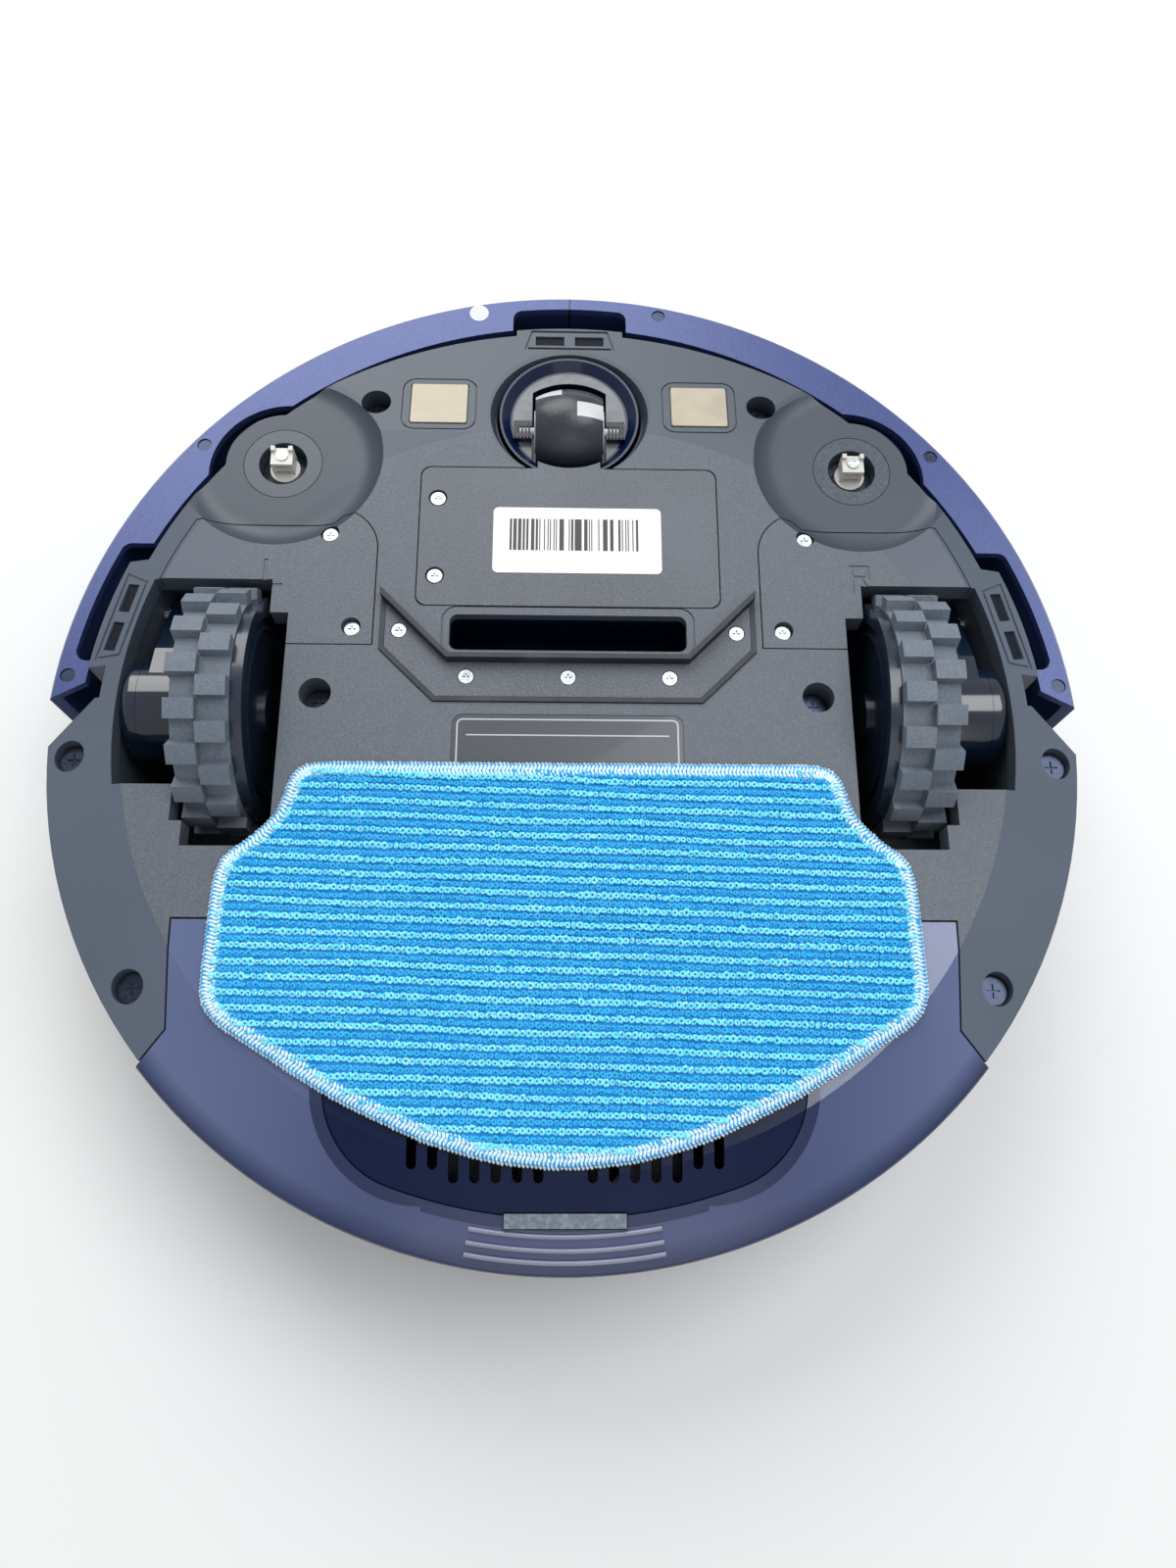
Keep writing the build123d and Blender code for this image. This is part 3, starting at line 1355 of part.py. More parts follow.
with BuildPart() as suction_duct:
    duct_top = plate_z - plate_thickness - 0.2
    rear_y = bin_front_y + bin_gap + wall + 0.2
    front_y, back_y = inlet_y[1], inlet_y[0]
    low_z, high_z = mouth_z
    t = duct_wall
    with BuildSketch(Plane.YZ.offset(-inlet_half_width - t)):
        with BuildLine():
            Polyline(
                (back_y - t, duct_top), (front_y + t, duct_top), (front_y + t, cut_z - 0.5),
                (10.7, low_z - t), (rear_y, low_z - t), (rear_y, high_z + t), (-0.6, high_z + t),
                (back_y - t, cut_z + 2.7), close=True,
            )
        make_face()
    extrude(amount=2 * (inlet_half_width + t))
    with BuildSketch(Plane.YZ.offset(-inlet_half_width)):
        with BuildLine():
            Polyline(
                (back_y, duct_top + 1), (front_y, duct_top + 1), (front_y, cut_z), (9.9, low_z),
                (rear_y - 1, low_z), (rear_y - 1, high_z), (0, high_z), (back_y, cut_z + 2), close=True,
            )
        make_face()
    extrude(amount=2 * inlet_half_width, mode=Mode.SUBTRACT)
finish(suction_duct.part, "suction_duct")


# Contacts, sensor windows and labels

with BuildPart() as charging_contacts:
    with BuildSketch(ramp.offset(-0.6)):
        with Locations((contact_x, ramp_y(contact_y)), (-contact_x, ramp_y(contact_y))):
            RectangleRounded(*contact_size, 0.6)
    extrude(amount=0.9)
finish(charging_contacts.part, "charging_contacts")

with BuildPart() as cliff_windows:
    for plane in sensors:
        with BuildSketch(plane.offset(-1.2)):
            with Locations((-5.9, -0.4), (5.9, -0.4)):
                Rectangle(8.4, 3.4)
        extrude(amount=0.6)
finish(cliff_windows.part, "cliff_windows")

with BuildPart() as serial_label:
    with BuildSketch(Plane.XY.offset(plate_z)):
        with Locations(label_centre):
            RectangleRounded(*label_size, 1.5)
    extrude(amount=0.15)
finish(serial_label.part, "serial_label")

with BuildPart() as rating_plate:
    with BuildSketch(Plane.XY.offset(plate_z - 0.3)):
        with Locations((0, rating_y)):
            RectangleRounded(*rating_size, 2.8)
    extrude(amount=0.3)
finish(rating_plate.part, "rating_plate")
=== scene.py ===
import bpy
import bmesh
import random
from math import atan2, ceil, cos, pi, radians, sin
from mathutils import Euler, Matrix, Vector, noise


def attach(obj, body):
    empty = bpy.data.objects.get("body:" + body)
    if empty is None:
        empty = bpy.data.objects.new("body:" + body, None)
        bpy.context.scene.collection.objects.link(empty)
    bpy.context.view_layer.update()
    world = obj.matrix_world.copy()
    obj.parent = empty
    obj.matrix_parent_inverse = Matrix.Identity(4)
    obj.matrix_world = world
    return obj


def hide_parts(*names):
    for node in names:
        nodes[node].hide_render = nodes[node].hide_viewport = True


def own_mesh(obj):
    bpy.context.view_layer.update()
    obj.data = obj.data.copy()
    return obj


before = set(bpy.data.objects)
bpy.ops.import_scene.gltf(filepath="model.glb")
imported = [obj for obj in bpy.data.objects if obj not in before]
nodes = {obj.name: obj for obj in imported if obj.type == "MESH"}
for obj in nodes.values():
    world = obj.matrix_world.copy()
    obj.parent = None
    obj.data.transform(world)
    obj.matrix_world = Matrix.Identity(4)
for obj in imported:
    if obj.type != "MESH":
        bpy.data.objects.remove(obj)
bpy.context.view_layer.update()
mm = 0.001
print("frame loaded:", len(nodes), "nodes")

camera = {
    "place": (-2.1, -116.0, 357.9),  # mm
    "yaw": 4.44, "pitch": 71.67, "roll": 4.63,  # degrees
    "lens": 26.95, "sensor": 36, "clipStart": 0.01,  # mm, mm, m
}


def makeCamera():
    yaw, pitch, roll = (radians(camera[k]) for k in ("yaw", "pitch", "roll"))
    ahead = Vector((sin(yaw) * cos(pitch), cos(yaw) * cos(pitch), -sin(pitch)))
    right = ahead.cross(Vector((0, 0, 1))).normalized()
    up = right.cross(ahead)
    turnedRight = cos(roll) * right + sin(roll) * up
    turnedUp = cos(roll) * up - sin(roll) * right
    data = bpy.data.cameras.new("camera")
    data.lens = camera["lens"]
    data.sensor_width = camera["sensor"]
    obj = bpy.data.objects.new("camera", data)
    bpy.context.scene.collection.objects.link(obj)
    turn = Matrix((turnedRight, turnedUp, -ahead)).transposed().to_4x4()
    obj.matrix_world = Matrix.Translation(Vector(camera["place"]) * mm) @ turn
    data.clip_start = camera["clipStart"]
    bpy.context.scene.camera = obj


stageLook = {
    "floorColor": (0.74, 0.74, 0.735, 1),
    "floorRough": 0.5,
    "floorHalf": 6, "floorDrop": 0.0004,  # m
    "skyColor": (0.95, 0.97, 1.0, 1),
    "skyStrength": 0.57,
}
lamps = (
    # name, place m, aim m, size m, watts, colour
    ("window", (-0.35, 1.25, 1.2), (0, 0.12, 0.0), 1.2, 20, (1.0, 0.995, 0.98)),
    ("ceiling", (0.6, 0.35, 1.6), (0, 0.05, 0.0), 0.9, 13, (0.95, 0.98, 1.0)),
    ("fill", (0.1, -1.4, 1.1), (0, -0.1, 0.0), 1.2, 3.5, (1.0, 1.0, 1.0)),
)


def makeStage():
    bm = bmesh.new()
    bmesh.ops.create_grid(bm, x_segments=1, y_segments=1, size=stageLook["floorHalf"])
    mesh = bpy.data.meshes.new("floor")
    bm.to_mesh(mesh)
    bm.free()
    floor = bpy.data.objects.new("floor", mesh)
    bpy.context.scene.collection.objects.link(floor)
    mesh.transform(Matrix.Translation((0, 0, -stageLook["floorDrop"])))
    mat = bpy.data.materials.new("floor")
    mat.use_nodes = True
    shader = mat.node_tree.nodes["Principled BSDF"]
    shader.inputs["Base Color"].default_value = stageLook["floorColor"]
    shader.inputs["Roughness"].default_value = stageLook["floorRough"]
    mesh.materials.append(mat)
    world = bpy.data.worlds.new("sky")
    world.use_nodes = True
    sky = world.node_tree.nodes["Background"]
    sky.inputs["Color"].default_value = stageLook["skyColor"]
    sky.inputs["Strength"].default_value = stageLook["skyStrength"]
    bpy.context.scene.world = world
    for name, place, aim, size, watts, color in lamps:
        data = bpy.data.lights.new(name, "AREA")
        data.size = size
        data.energy = watts
        data.color = color
        lamp = bpy.data.objects.new(name, data)
        bpy.context.scene.collection.objects.link(lamp)
        lamp.location = place
        towards = Vector(aim) - Vector(place)
        lamp.rotation_euler = towards.to_track_quat("-Z", "Y").to_euler()
    bpy.context.scene.view_settings.view_transform = "Standard"


makeCamera()
makeStage()
print("camera, floor and lights set")


# a node material being put together
class Look:
    def __init__(self, name, color, rough, **sockets):
        self.mat = bpy.data.materials.new(name)
        self.mat.use_nodes = True
        self.tree = self.mat.node_tree
        self.shader = self.tree.nodes["Principled BSDF"]
        self.shader.inputs["Base Color"].default_value = (*color, 1)
        self.shader.inputs["Roughness"].default_value = rough
        for socket, value in sockets.items():
            self.shader.inputs[socket.replace("_", " ")].default_value = value
        self.coords = self.tree.nodes.new("ShaderNodeTexCoord").outputs["Object"]

    def node(self, kind, **values):
        made = self.tree.nodes.new("ShaderNode" + kind)
        for key, value in values.items():
            if hasattr(made, key):
                setattr(made, key, value)
            else:
                made.inputs[key.replace("_", " ")].default_value = value
        return made

    def link(self, a, b):
        self.tree.links.new(a, b)

    def math(self, operation, *values):
        made = self.tree.nodes.new("ShaderNodeMath")
        made.operation = operation
        for slot, value in enumerate(values):
            if isinstance(value, (int, float)):
                made.inputs[slot].default_value = value
            else:
                self.link(value, made.inputs[slot])
        return made.outputs[0]

    def noise(self, scale, detail=2.0):
        made = self.node("TexNoise", Scale=scale, Detail=detail)
        self.link(self.coords, made.inputs["Vector"])
        return made.outputs["Fac"]

    def ramp(self, value, low, high, start=0.0, end=1.0):
        made = self.node("MapRange", clamp=True)
        self.link(value, made.inputs[0])
        for slot, number in enumerate((low, high, start, end), 1):
            made.inputs[slot].default_value = number
        return made.outputs[0]

    def mixColor(self, share, first, second):
        made = self.tree.nodes.new("ShaderNodeMix")
        made.data_type = "RGBA"
        self.link(share, made.inputs[0])
        for slot, value in ((6, first), (7, second)):
            if isinstance(value, tuple):
                made.inputs[slot].default_value = (*value, 1)
            else:
                self.link(value, made.inputs[slot])
        return made.outputs[2]

    def paint(self, color):
        self.link(color, self.shader.inputs["Base Color"])

    def roughness(self, value):
        self.link(value, self.shader.inputs["Roughness"])

    def bump(self, value, strength, distance):
        made = self.node("Bump", Strength=strength, Distance=distance)
        self.link(value, made.inputs["Height"])
        self.link(made.outputs["Normal"], self.shader.inputs["Normal"])

    def split(self):
        made = self.node("SeparateXYZ")
        self.link(self.coords, made.inputs[0])
        return made.outputs

    # distance from an upright axis, in m
    def reach(self, cx, cy):
        x, y = self.split()[:2]
        east = self.math("SUBTRACT", x, cx)
        north = self.math("SUBTRACT", y, cy)
        square = self.math("ADD", self.math("MULTIPLY", east, east),
                           self.math("MULTIPLY", north, north))
        return self.math("SQRT", square)


def shade(color, share):
    return tuple(min(1, c * share) for c in color)


# moulded plastic with a spark-eroded grain: grain is its scale, sparkle its light flecks
def mouldedPlastic(name, color, rough, grain, depth, sparkle=0.0, **sockets):
    look = Look(name, color, rough, **sockets)
    fine = look.noise(grain, 3)
    wide = look.noise(22, 2)
    lighter = tuple(min(1, c * 1.5 + 0.01) for c in color)
    base = look.mixColor(look.ramp(wide, 0.3, 0.7), shade(color, 0.72), color)
    base = look.mixColor(look.ramp(fine, 0.45, 0.75), base, lighter)
    if sparkle:
        flecks = look.noise(grain * 1.7, 1)
        flecks = look.ramp(flecks, 0.68, 0.75, 0, sparkle)
        base = look.mixColor(flecks, base, tuple(min(1, c * 4 + 0.1) for c in color))
    look.paint(base)
    look.roughness(look.ramp(fine, 0.3, 0.7, rough - 0.07, rough + 0.08))
    look.bump(fine, 0.5, depth)
    return look.mat


chassisLook = {
    "center": (0.080, 0.094, 0.116), "rim": (0.078, 0.097, 0.132), "front": (0.050, 0.064, 0.088),
    "dish": (0.032, 0.044, 0.064), "fleck": (0.34, 0.36, 0.42),
    "centerRough": 0.48, "rimRough": 0.44, "dishRough": 0.42,
    "grain": 2800, "grainDepth": 0.00018,  # per m, m
    "creaseRadius": 0.117, "frontCircle": (0, -0.028, 0.1168),  # m: centre and radius
    "frontFade": (0.03, 0.09),  # m
    "dishes": ((0.082, 0.0779, 0.029), (-0.082, 0.0779, 0.029), (0, 0.0945, 0.0236)),
}


# coarse grain on the flat centre; a smoother skin on the rim, the front and the round dishes, with
# painted shade darkening the dishes
def chassisMaterial():
    look = Look("chassisPlastic", chassisLook["center"], chassisLook["centerRough"])
    edge = chassisLook["creaseRadius"]
    onRim = look.ramp(look.reach(0, 0), edge - 0.0003, edge + 0.0003)
    fx, fy, fr = chassisLook["frontCircle"]
    onFront = look.ramp(look.reach(fx, fy), fr - 0.0003, fr + 0.0003)
    smooth = look.math("MAXIMUM", onRim, onFront)
    inDish = None
    for dx, dy, dr in chassisLook["dishes"]:
        within = look.ramp(look.reach(dx, dy), dr - 0.0002, dr + 0.0002, 1, 0)
        inDish = look.math("MAXIMUM", inDish, within) if inDish else within
    fine = look.noise(chassisLook["grain"], 3)
    wide = look.noise(16, 2)
    center = chassisLook["center"]
    coarse = look.mixColor(look.ramp(fine, 0.40, 0.66), shade(center, 0.84), shade(center, 1.28))
    flecks = look.ramp(look.noise(chassisLook["grain"] * 1.3, 1), 0.68, 0.75, 0, 0.16)
    coarse = look.mixColor(flecks, coarse, chassisLook["fleck"])
    rim = chassisLook["rim"]
    rim = look.mixColor(look.ramp(wide, 0.3, 0.7), shade(rim, 0.85), rim)
    ahead = look.ramp(look.split()[1], *chassisLook["frontFade"])
    rim = look.mixColor(ahead, rim, chassisLook["front"])
    skin = look.mixColor(smooth, coarse, rim)
    # painted shade: the recessed round dishes get a darker colour
    look.paint(look.mixColor(inDish, skin, chassisLook["dish"]))
    gloss = look.ramp(smooth, 0, 1, chassisLook["centerRough"], chassisLook["rimRough"])
    drop = look.math("MULTIPLY", inDish, chassisLook["rimRough"] - chassisLook["dishRough"])
    look.roughness(look.math("SUBTRACT", gloss, drop))
    plain = look.math("MAXIMUM", smooth, inDish)
    height = look.math("MULTIPLY", fine, look.ramp(plain, 0, 1, 1.0, 0.12))
    look.bump(height, 0.5, chassisLook["grainDepth"])
    return look.mat


bumperLook = {
    "dark": (0.030, 0.046, 0.160), "light": (0.044, 0.072, 0.215), "rough": 0.36,
    # edge is the colour of a painted highlight along the outer rim
    "edge": (0.40, 0.35, 0.27), "highlightRadius": 0.1396, "lip": (0.0603, 0.0607),  # m
    "nick": 0.00035, "nickStart": 0.130,  # m
    "nickColor": (0.006, 0.007, 0.015), "flakeScale": 3600,
}


# metallic blue lacquer with fine flakes, a painted pale highlight along the outer edge and a nick
# at the top centre
def bumperMaterial():
    look = Look("bumperLacquer", bumperLook["light"], bumperLook["rough"], Metallic=0.3,
                Coat_Weight=0.2, Coat_Roughness=0.25)
    x, y, z = look.split()
    flake = look.node("TexVoronoi", Scale=bumperLook["flakeScale"])
    look.link(look.coords, flake.inputs["Vector"])
    base = look.mixColor(look.ramp(flake.outputs["Color"], 0.2, 0.9), bumperLook["dark"],
                         bumperLook["light"])
    radius = bumperLook["highlightRadius"]
    outer = look.ramp(look.reach(0, 0), radius, radius + 0.0003)
    rimHighlight = look.math("MULTIPLY", outer, look.ramp(z, *bumperLook["lip"]))
    # painted highlight: a pale tan line along the bumper's outer edge
    base = look.mixColor(look.math("MULTIPLY", rimHighlight, 0.8), base, bumperLook["edge"])
    nick = bumperLook["nick"]
    line = look.ramp(look.math("ABSOLUTE", x), nick * 0.6, nick, 1, 0)
    ahead = look.ramp(y, bumperLook["nickStart"], bumperLook["nickStart"] + 0.0002)
    inNick = look.math("MULTIPLY", line, ahead)
    look.paint(look.mixColor(inNick, base, bumperLook["nickColor"]))
    look.bump(look.noise(3000, 1), 0.1, 0.00005)
    return look.mat


dustColor = (0.32, 0.32, 0.33)


# rubber with a fine grain; dust is the strength of its pale patches
def rubberMaterial(name, color, rough, grain=900, dust=0.0):
    look = Look(name, color, rough)
    fine = look.noise(grain, 4)
    patch = look.noise(60, 3)
    base = look.mixColor(look.ramp(fine, 0.35, 0.7), shade(color, 0.85), shade(color, 1.2))
    if dust:
        base = look.mixColor(look.ramp(patch, 0.5, 0.72, 0, dust), base, dustColor)
    look.paint(base)
    look.roughness(look.ramp(patch, 0.3, 0.7, rough - 0.06, rough + 0.06))
    look.bump(fine, 0.35, 0.00015)
    return look.mat


# polished plastic with faint moulding flow and a little unevenness in its gloss
def glossMaterial(name, color, rough, coat=0.3, swirl=40, **sockets):
    look = Look(name, color, rough, Coat_Weight=coat, Coat_Roughness=0.08, **sockets)
    flow = look.noise(swirl, 3)
    look.paint(look.mixColor(look.ramp(flow, 0.35, 0.7), shade(color, 0.8), color))
    look.roughness(look.ramp(flow, 0.3, 0.7, max(0.02, rough - 0.05), rough + 0.05))
    look.bump(look.noise(swirl * 6, 2), 0.05, 0.0002)
    return look.mat


# plated metal with a fine unevenness
def metalMaterial(name, color, rough, scale=400):
    look = Look(name, color, rough, Metallic=1.0)
    brush = look.noise(scale, 3)
    look.paint(look.mixColor(look.ramp(brush, 0.35, 0.65), shade(color, 0.8), color))
    look.roughness(look.ramp(brush, 0.3, 0.7, rough - 0.05, rough + 0.08))
    look.bump(brush, 0.08, 0.0001)
    return look.mat


smokeLook = {
    "sideReflection": (0.100, 0.130, 0.260), "middleSmoke": (0.040, 0.056, 0.150), "rim": (0.006, 0.015, 0.070),
    "rimStart": 0.1335, "rimEnd": 0.1392, "fade": (0.045, 0.100),  # m
    "band": (0.004, 0.014, 0.068), "bandRadius": 0.1294, "bandHalf": 0.0612,
    "bandCorner": (0.034, -0.0966, 0.0272), "bandFloor": 0.05,  # m
}


# smoky translucent plastic of the dust bin: glossy, darker towards its rounded rim, with a painted
# reflection lightening its sides and a painted shadow round its panel
def smokyMaterial():
    look = Look("binSmoke", smokeLook["sideReflection"], 0.26, Coat_Weight=0.3, Coat_Roughness=0.12,
                Transmission_Weight=0.12, IOR=1.5)
    cloud = look.noise(18, 2)
    # painted reflection: the bin gets lighter towards both sides
    side = look.ramp(look.math("ABSOLUTE", look.split()[0]), *smokeLook["fade"], 0, 0.8)
    share = look.math("ADD", side, look.ramp(cloud, 0.3, 0.7, 0, 0.2))
    base = look.mixColor(share, smokeLook["middleSmoke"], smokeLook["sideReflection"])
    inRim = look.ramp(look.reach(0, 0), smokeLook["rimStart"], smokeLook["rimEnd"])
    base = look.mixColor(inRim, base, smokeLook["rim"])
    # painted shadow: a darker band round the panel
    cx, cy, cr = smokeLook["bandCorner"]
    x, y, z = look.split()
    east = look.math("ABSOLUTE", x)
    middle = look.math("MULTIPLY", look.math("LESS_THAN", east, cx),
                       look.math("LESS_THAN", look.reach(0, 0), smokeLook["bandRadius"]))
    flank = look.math("MULTIPLY", look.math("LESS_THAN", east, smokeLook["bandHalf"]),
                      look.math("GREATER_THAN", y, cy))
    corners = look.math("MAXIMUM", look.math("LESS_THAN", look.reach(cx, cy), cr),
                        look.math("LESS_THAN", look.reach(-cx, cy), cr))
    inPanelShadow = look.math("MAXIMUM", look.math("MAXIMUM", middle, flank), corners)
    onTop = look.math("GREATER_THAN", z, smokeLook["bandFloor"])
    inPanelShadow = look.math("MULTIPLY", inPanelShadow, onTop)
    look.paint(look.mixColor(inPanelShadow, base, smokeLook["band"]))
    look.roughness(look.ramp(cloud, 0.3, 0.7, 0.22, 0.32))
    look.bump(look.noise(90, 2), 0.04, 0.0004)
    return look.mat


castorLook = {
    "gloss": (0.003, 0.010, 0.040), "silver": (0.17, 0.18, 0.195),
    "glossRough": 0.16, "flatRough": 0.42,
    "axis": (0, 0.0945), "flat": (0.0617, 0.06225), "flatRadius": 0.0166,  # m
}


# glossy navy castor cup with silvery flats beside the wheel
def castorMaterial():
    look = Look("castorGloss", castorLook["gloss"], castorLook["glossRough"], Coat_Weight=0.1,
                Coat_Roughness=0.08, Specular_IOR_Level=0.3)
    z = look.split()[2]
    low, high = castorLook["flat"]
    onFlat = look.math("MULTIPLY", look.ramp(z, low - 0.00005, low + 0.00005),
                       look.ramp(z, high, high + 0.0001, 1, 0))
    radius = castorLook["flatRadius"]
    near = look.ramp(look.reach(*castorLook["axis"]), radius, radius + 0.0001, 1, 0)
    onFlat = look.math("MULTIPLY", onFlat, near)
    brush = look.noise(300, 3)
    silver = castorLook["silver"]
    silver = look.mixColor(look.ramp(brush, 0.3, 0.7), shade(silver, 0.75), silver)
    look.paint(look.mixColor(onFlat, castorLook["gloss"], silver))
    look.roughness(look.ramp(onFlat, 0, 1, castorLook["glossRough"], castorLook["flatRough"]))
    look.link(look.math("MULTIPLY", onFlat, 0.3), look.shader.inputs["Metallic"])
    look.bump(brush, 0.03, 0.0001)
    return look.mat


# matt paper or card with a faint fibre
def paperMaterial(name, color, rough):
    look = Look(name, color, rough)
    fibre = look.noise(500, 5)
    look.paint(look.mixColor(look.ramp(fibre, 0.35, 0.65), shade(color, 0.92), color))
    look.bump(fibre, 0.08, 0.0001)
    return look.mat


labelLook = {
    "paper": (0.80, 0.80, 0.80), "ink": (0.02, 0.02, 0.022),
    "barX": (-0.0165, 0.0198), "barY": (0.0480, 0.0580), "barWidth": 0.00033,  # m
    "blankShare": 0.47,
}


# white film with generic bars of uneven width and no lettering
def labelMaterial():
    look = Look("labelFilm", labelLook["paper"], 0.42)
    x, y = look.split()[:2]
    step = look.math("FLOOR", look.math("DIVIDE", x, labelLook["barWidth"]))
    chance = look.node("TexWhiteNoise", noise_dimensions="1D")
    look.link(step, chance.inputs["W"])
    ink = look.math("GREATER_THAN", chance.outputs["Value"], labelLook["blankShare"])
    for value, limits in ((x, labelLook["barX"]), (y, labelLook["barY"])):
        ink = look.math("MULTIPLY", ink, look.math("GREATER_THAN", value, limits[0]))
        ink = look.math("MULTIPLY", ink, look.math("LESS_THAN", value, limits[1]))
    fibre = look.noise(500, 4)
    paper = labelLook["paper"]
    film = look.mixColor(look.ramp(fibre, 0.35, 0.65), shade(paper, 0.95), paper)
    look.paint(look.mixColor(ink, film, labelLook["ink"]))
    look.bump(fibre, 0.05, 0.0001)
    return look.mat


plateLook = {
    "film": (0.050, 0.058, 0.072), "line": (0.42, 0.44, 0.46),
    "center": (0, -0.018), "half": (0.0277, 0.0141),  # m, to the centres of the corners
    "outline": (0.0013, 0.0017), "ruleY": -0.0068, "ruleHalf": (0.0268, 0.00018),
}


# dark rating plate with a light outline and one rule, and no lettering
def plateMaterial():
    look = Look("plateFilm", plateLook["film"], 0.30, Coat_Weight=0.15)
    x, y = look.split()[:2]
    cx, cy = plateLook["center"]
    east = look.math("ABSOLUTE", look.math("SUBTRACT", x, cx))
    north = look.math("ABSOLUTE", look.math("SUBTRACT", y, cy))
    over = [look.math("MAXIMUM", look.math("SUBTRACT", value, limit), 0)
            for value, limit in ((east, plateLook["half"][0]), (north, plateLook["half"][1]))]
    gap = look.math("SQRT", look.math("ADD", look.math("MULTIPLY", over[0], over[0]),
                                      look.math("MULTIPLY", over[1], over[1])))
    low, high = plateLook["outline"]
    line = look.math("MULTIPLY", look.math("GREATER_THAN", gap, low),
                     look.math("LESS_THAN", gap, high))
    away = look.math("ABSOLUTE", look.math("SUBTRACT", y, plateLook["ruleY"]))
    rule = look.math("MULTIPLY", look.math("LESS_THAN", away, plateLook["ruleHalf"][1]),
                     look.math("LESS_THAN", east, plateLook["ruleHalf"][0]))
    fine = look.noise(700, 2)
    film = look.mixColor(fine, shade(plateLook["film"], 0.8), plateLook["film"])
    look.paint(look.mixColor(look.math("MAXIMUM", line, rule), film, plateLook["line"]))
    look.bump(fine, 0.05, 0.0001)
    return look.mat


boardLook = {"green": (0.01, 0.12, 0.05), "pads": (0.30, 0.24, 0.06), "rough": 0.35, "cells": 160}


# green circuit board with small gold pads
def boardMaterial():
    look = Look("boardGreen", boardLook["green"], boardLook["rough"])
    cells = look.node("TexVoronoi", Scale=boardLook["cells"], distance="CHEBYCHEV")
    look.link(look.coords, cells.inputs["Vector"])
    away = look.ramp(cells.outputs["Distance"], 0.05, 0.2)
    look.paint(look.mixColor(away, boardLook["pads"], boardLook["green"]))
    return look.mat


finishes = {
    "chassis": chassisMaterial(),
    "bumper": bumperMaterial(),
    "cover": mouldedPlastic("coverPlastic", (0.080, 0.092, 0.112), rough=0.47, grain=2100,
                            depth=0.00016, sparkle=0.12),
    "inlet": mouldedPlastic("inletPlastic", (0.080, 0.092, 0.114), rough=0.48, grain=1900,
                            depth=0.00016, sparkle=0.12),
    "housing": mouldedPlastic("housingPlastic", (0.018, 0.027, 0.048), rough=0.45, grain=900,
                              depth=0.0001),
    "lid": glossMaterial("lidGloss", (0.014, 0.019, 0.060), rough=0.12, coat=0.6),
    "smoke": smokyMaterial(),
    "panel": glossMaterial("panelPlastic", (0.001, 0.007, 0.040), rough=0.34, coat=0.0, swirl=60,
                           Specular_IOR_Level=0.2),
    "latch": mouldedPlastic("latchPlastic", (0.120, 0.145, 0.180), rough=0.6, grain=800,
                            depth=0.0003, sparkle=0.15),
    "bezel": mouldedPlastic("bezelPlastic", (0.036, 0.050, 0.072), rough=0.36, grain=1600,
                            depth=0.00006),
    "duct": glossMaterial("ductPlastic", (0.002, 0.007, 0.030), rough=0.3, coat=0.1),
    "window": glossMaterial("windowPlastic", (0.006, 0.006, 0.010), rough=0.10, coat=0.6),
    "sensor": mouldedPlastic("sensorPlastic", (0.003, 0.005, 0.012), rough=0.7, grain=1500,
                             depth=0.00005, Specular_IOR_Level=0.2),
    "hub": glossMaterial("hubPlastic", (0.010, 0.018, 0.036), rough=0.24),
    "gear": glossMaterial("gearPlastic", (0.004, 0.010, 0.026), rough=0.12, coat=0.6),
    "arm": mouldedPlastic("armPlastic", (0.018, 0.030, 0.050), rough=0.40, grain=900, depth=0.0001),
    "castor": castorMaterial(),
    "castorCore": glossMaterial("castorWhite", (0.62, 0.64, 0.65), rough=0.35, coat=0.1),
    "castorTyre": rubberMaterial("castorRubber", (0.022, 0.028, 0.038), rough=0.32, grain=700),
    "clip": mouldedPlastic("clipPlastic", (0.012, 0.012, 0.014), rough=0.5, grain=1200,
                           depth=0.0001),
    "tyre": rubberMaterial("tyreRubber", (0.120, 0.145, 0.180), rough=0.66, grain=1700, dust=0.10),
    "blade": rubberMaterial("bladeRubber", (0.010, 0.014, 0.024), rough=0.55, dust=0.1),
    "ivory": glossMaterial("ivoryPlastic", (0.58, 0.57, 0.53), rough=0.34, coat=0.1,
                           Subsurface_Weight=0.1, Subsurface_Scale=0.002),
    "steel": metalMaterial("plainSteel", (0.50, 0.50, 0.52), rough=0.30),
    "screw": metalMaterial("screwSteel", (0.52, 0.58, 0.60), rough=0.28, scale=900),
    "blackScrew": metalMaterial("blackScrew", (0.045, 0.055, 0.085), rough=0.28, scale=900),
    "contact": glossMaterial("contactNickel", (0.40, 0.36, 0.28), rough=0.5, coat=0.0, swirl=120,
                             Metallic=0.45),
    "seal": paperMaterial("sealPaper", (0.66, 0.67, 0.70), rough=0.6),
    "label": labelMaterial(),
    "plate": plateMaterial(),
    "filter": paperMaterial("filterPaper", (0.72, 0.71, 0.67), rough=0.8),
    "fan": glossMaterial("fanPlastic", (0.012, 0.012, 0.016), rough=0.35, coat=0.0),
    "battery": glossMaterial("batteryWrap", (0.03, 0.09, 0.28), rough=0.25),
    "board": boardMaterial(),
    "button": metalMaterial("buttonSilver", (0.55, 0.57, 0.62), rough=0.3, scale=300),
    "ribs": glossMaterial("ribGloss", (0.20, 0.21, 0.30), rough=0.2, coat=0.5),
}
print("materials made:", len(finishes))

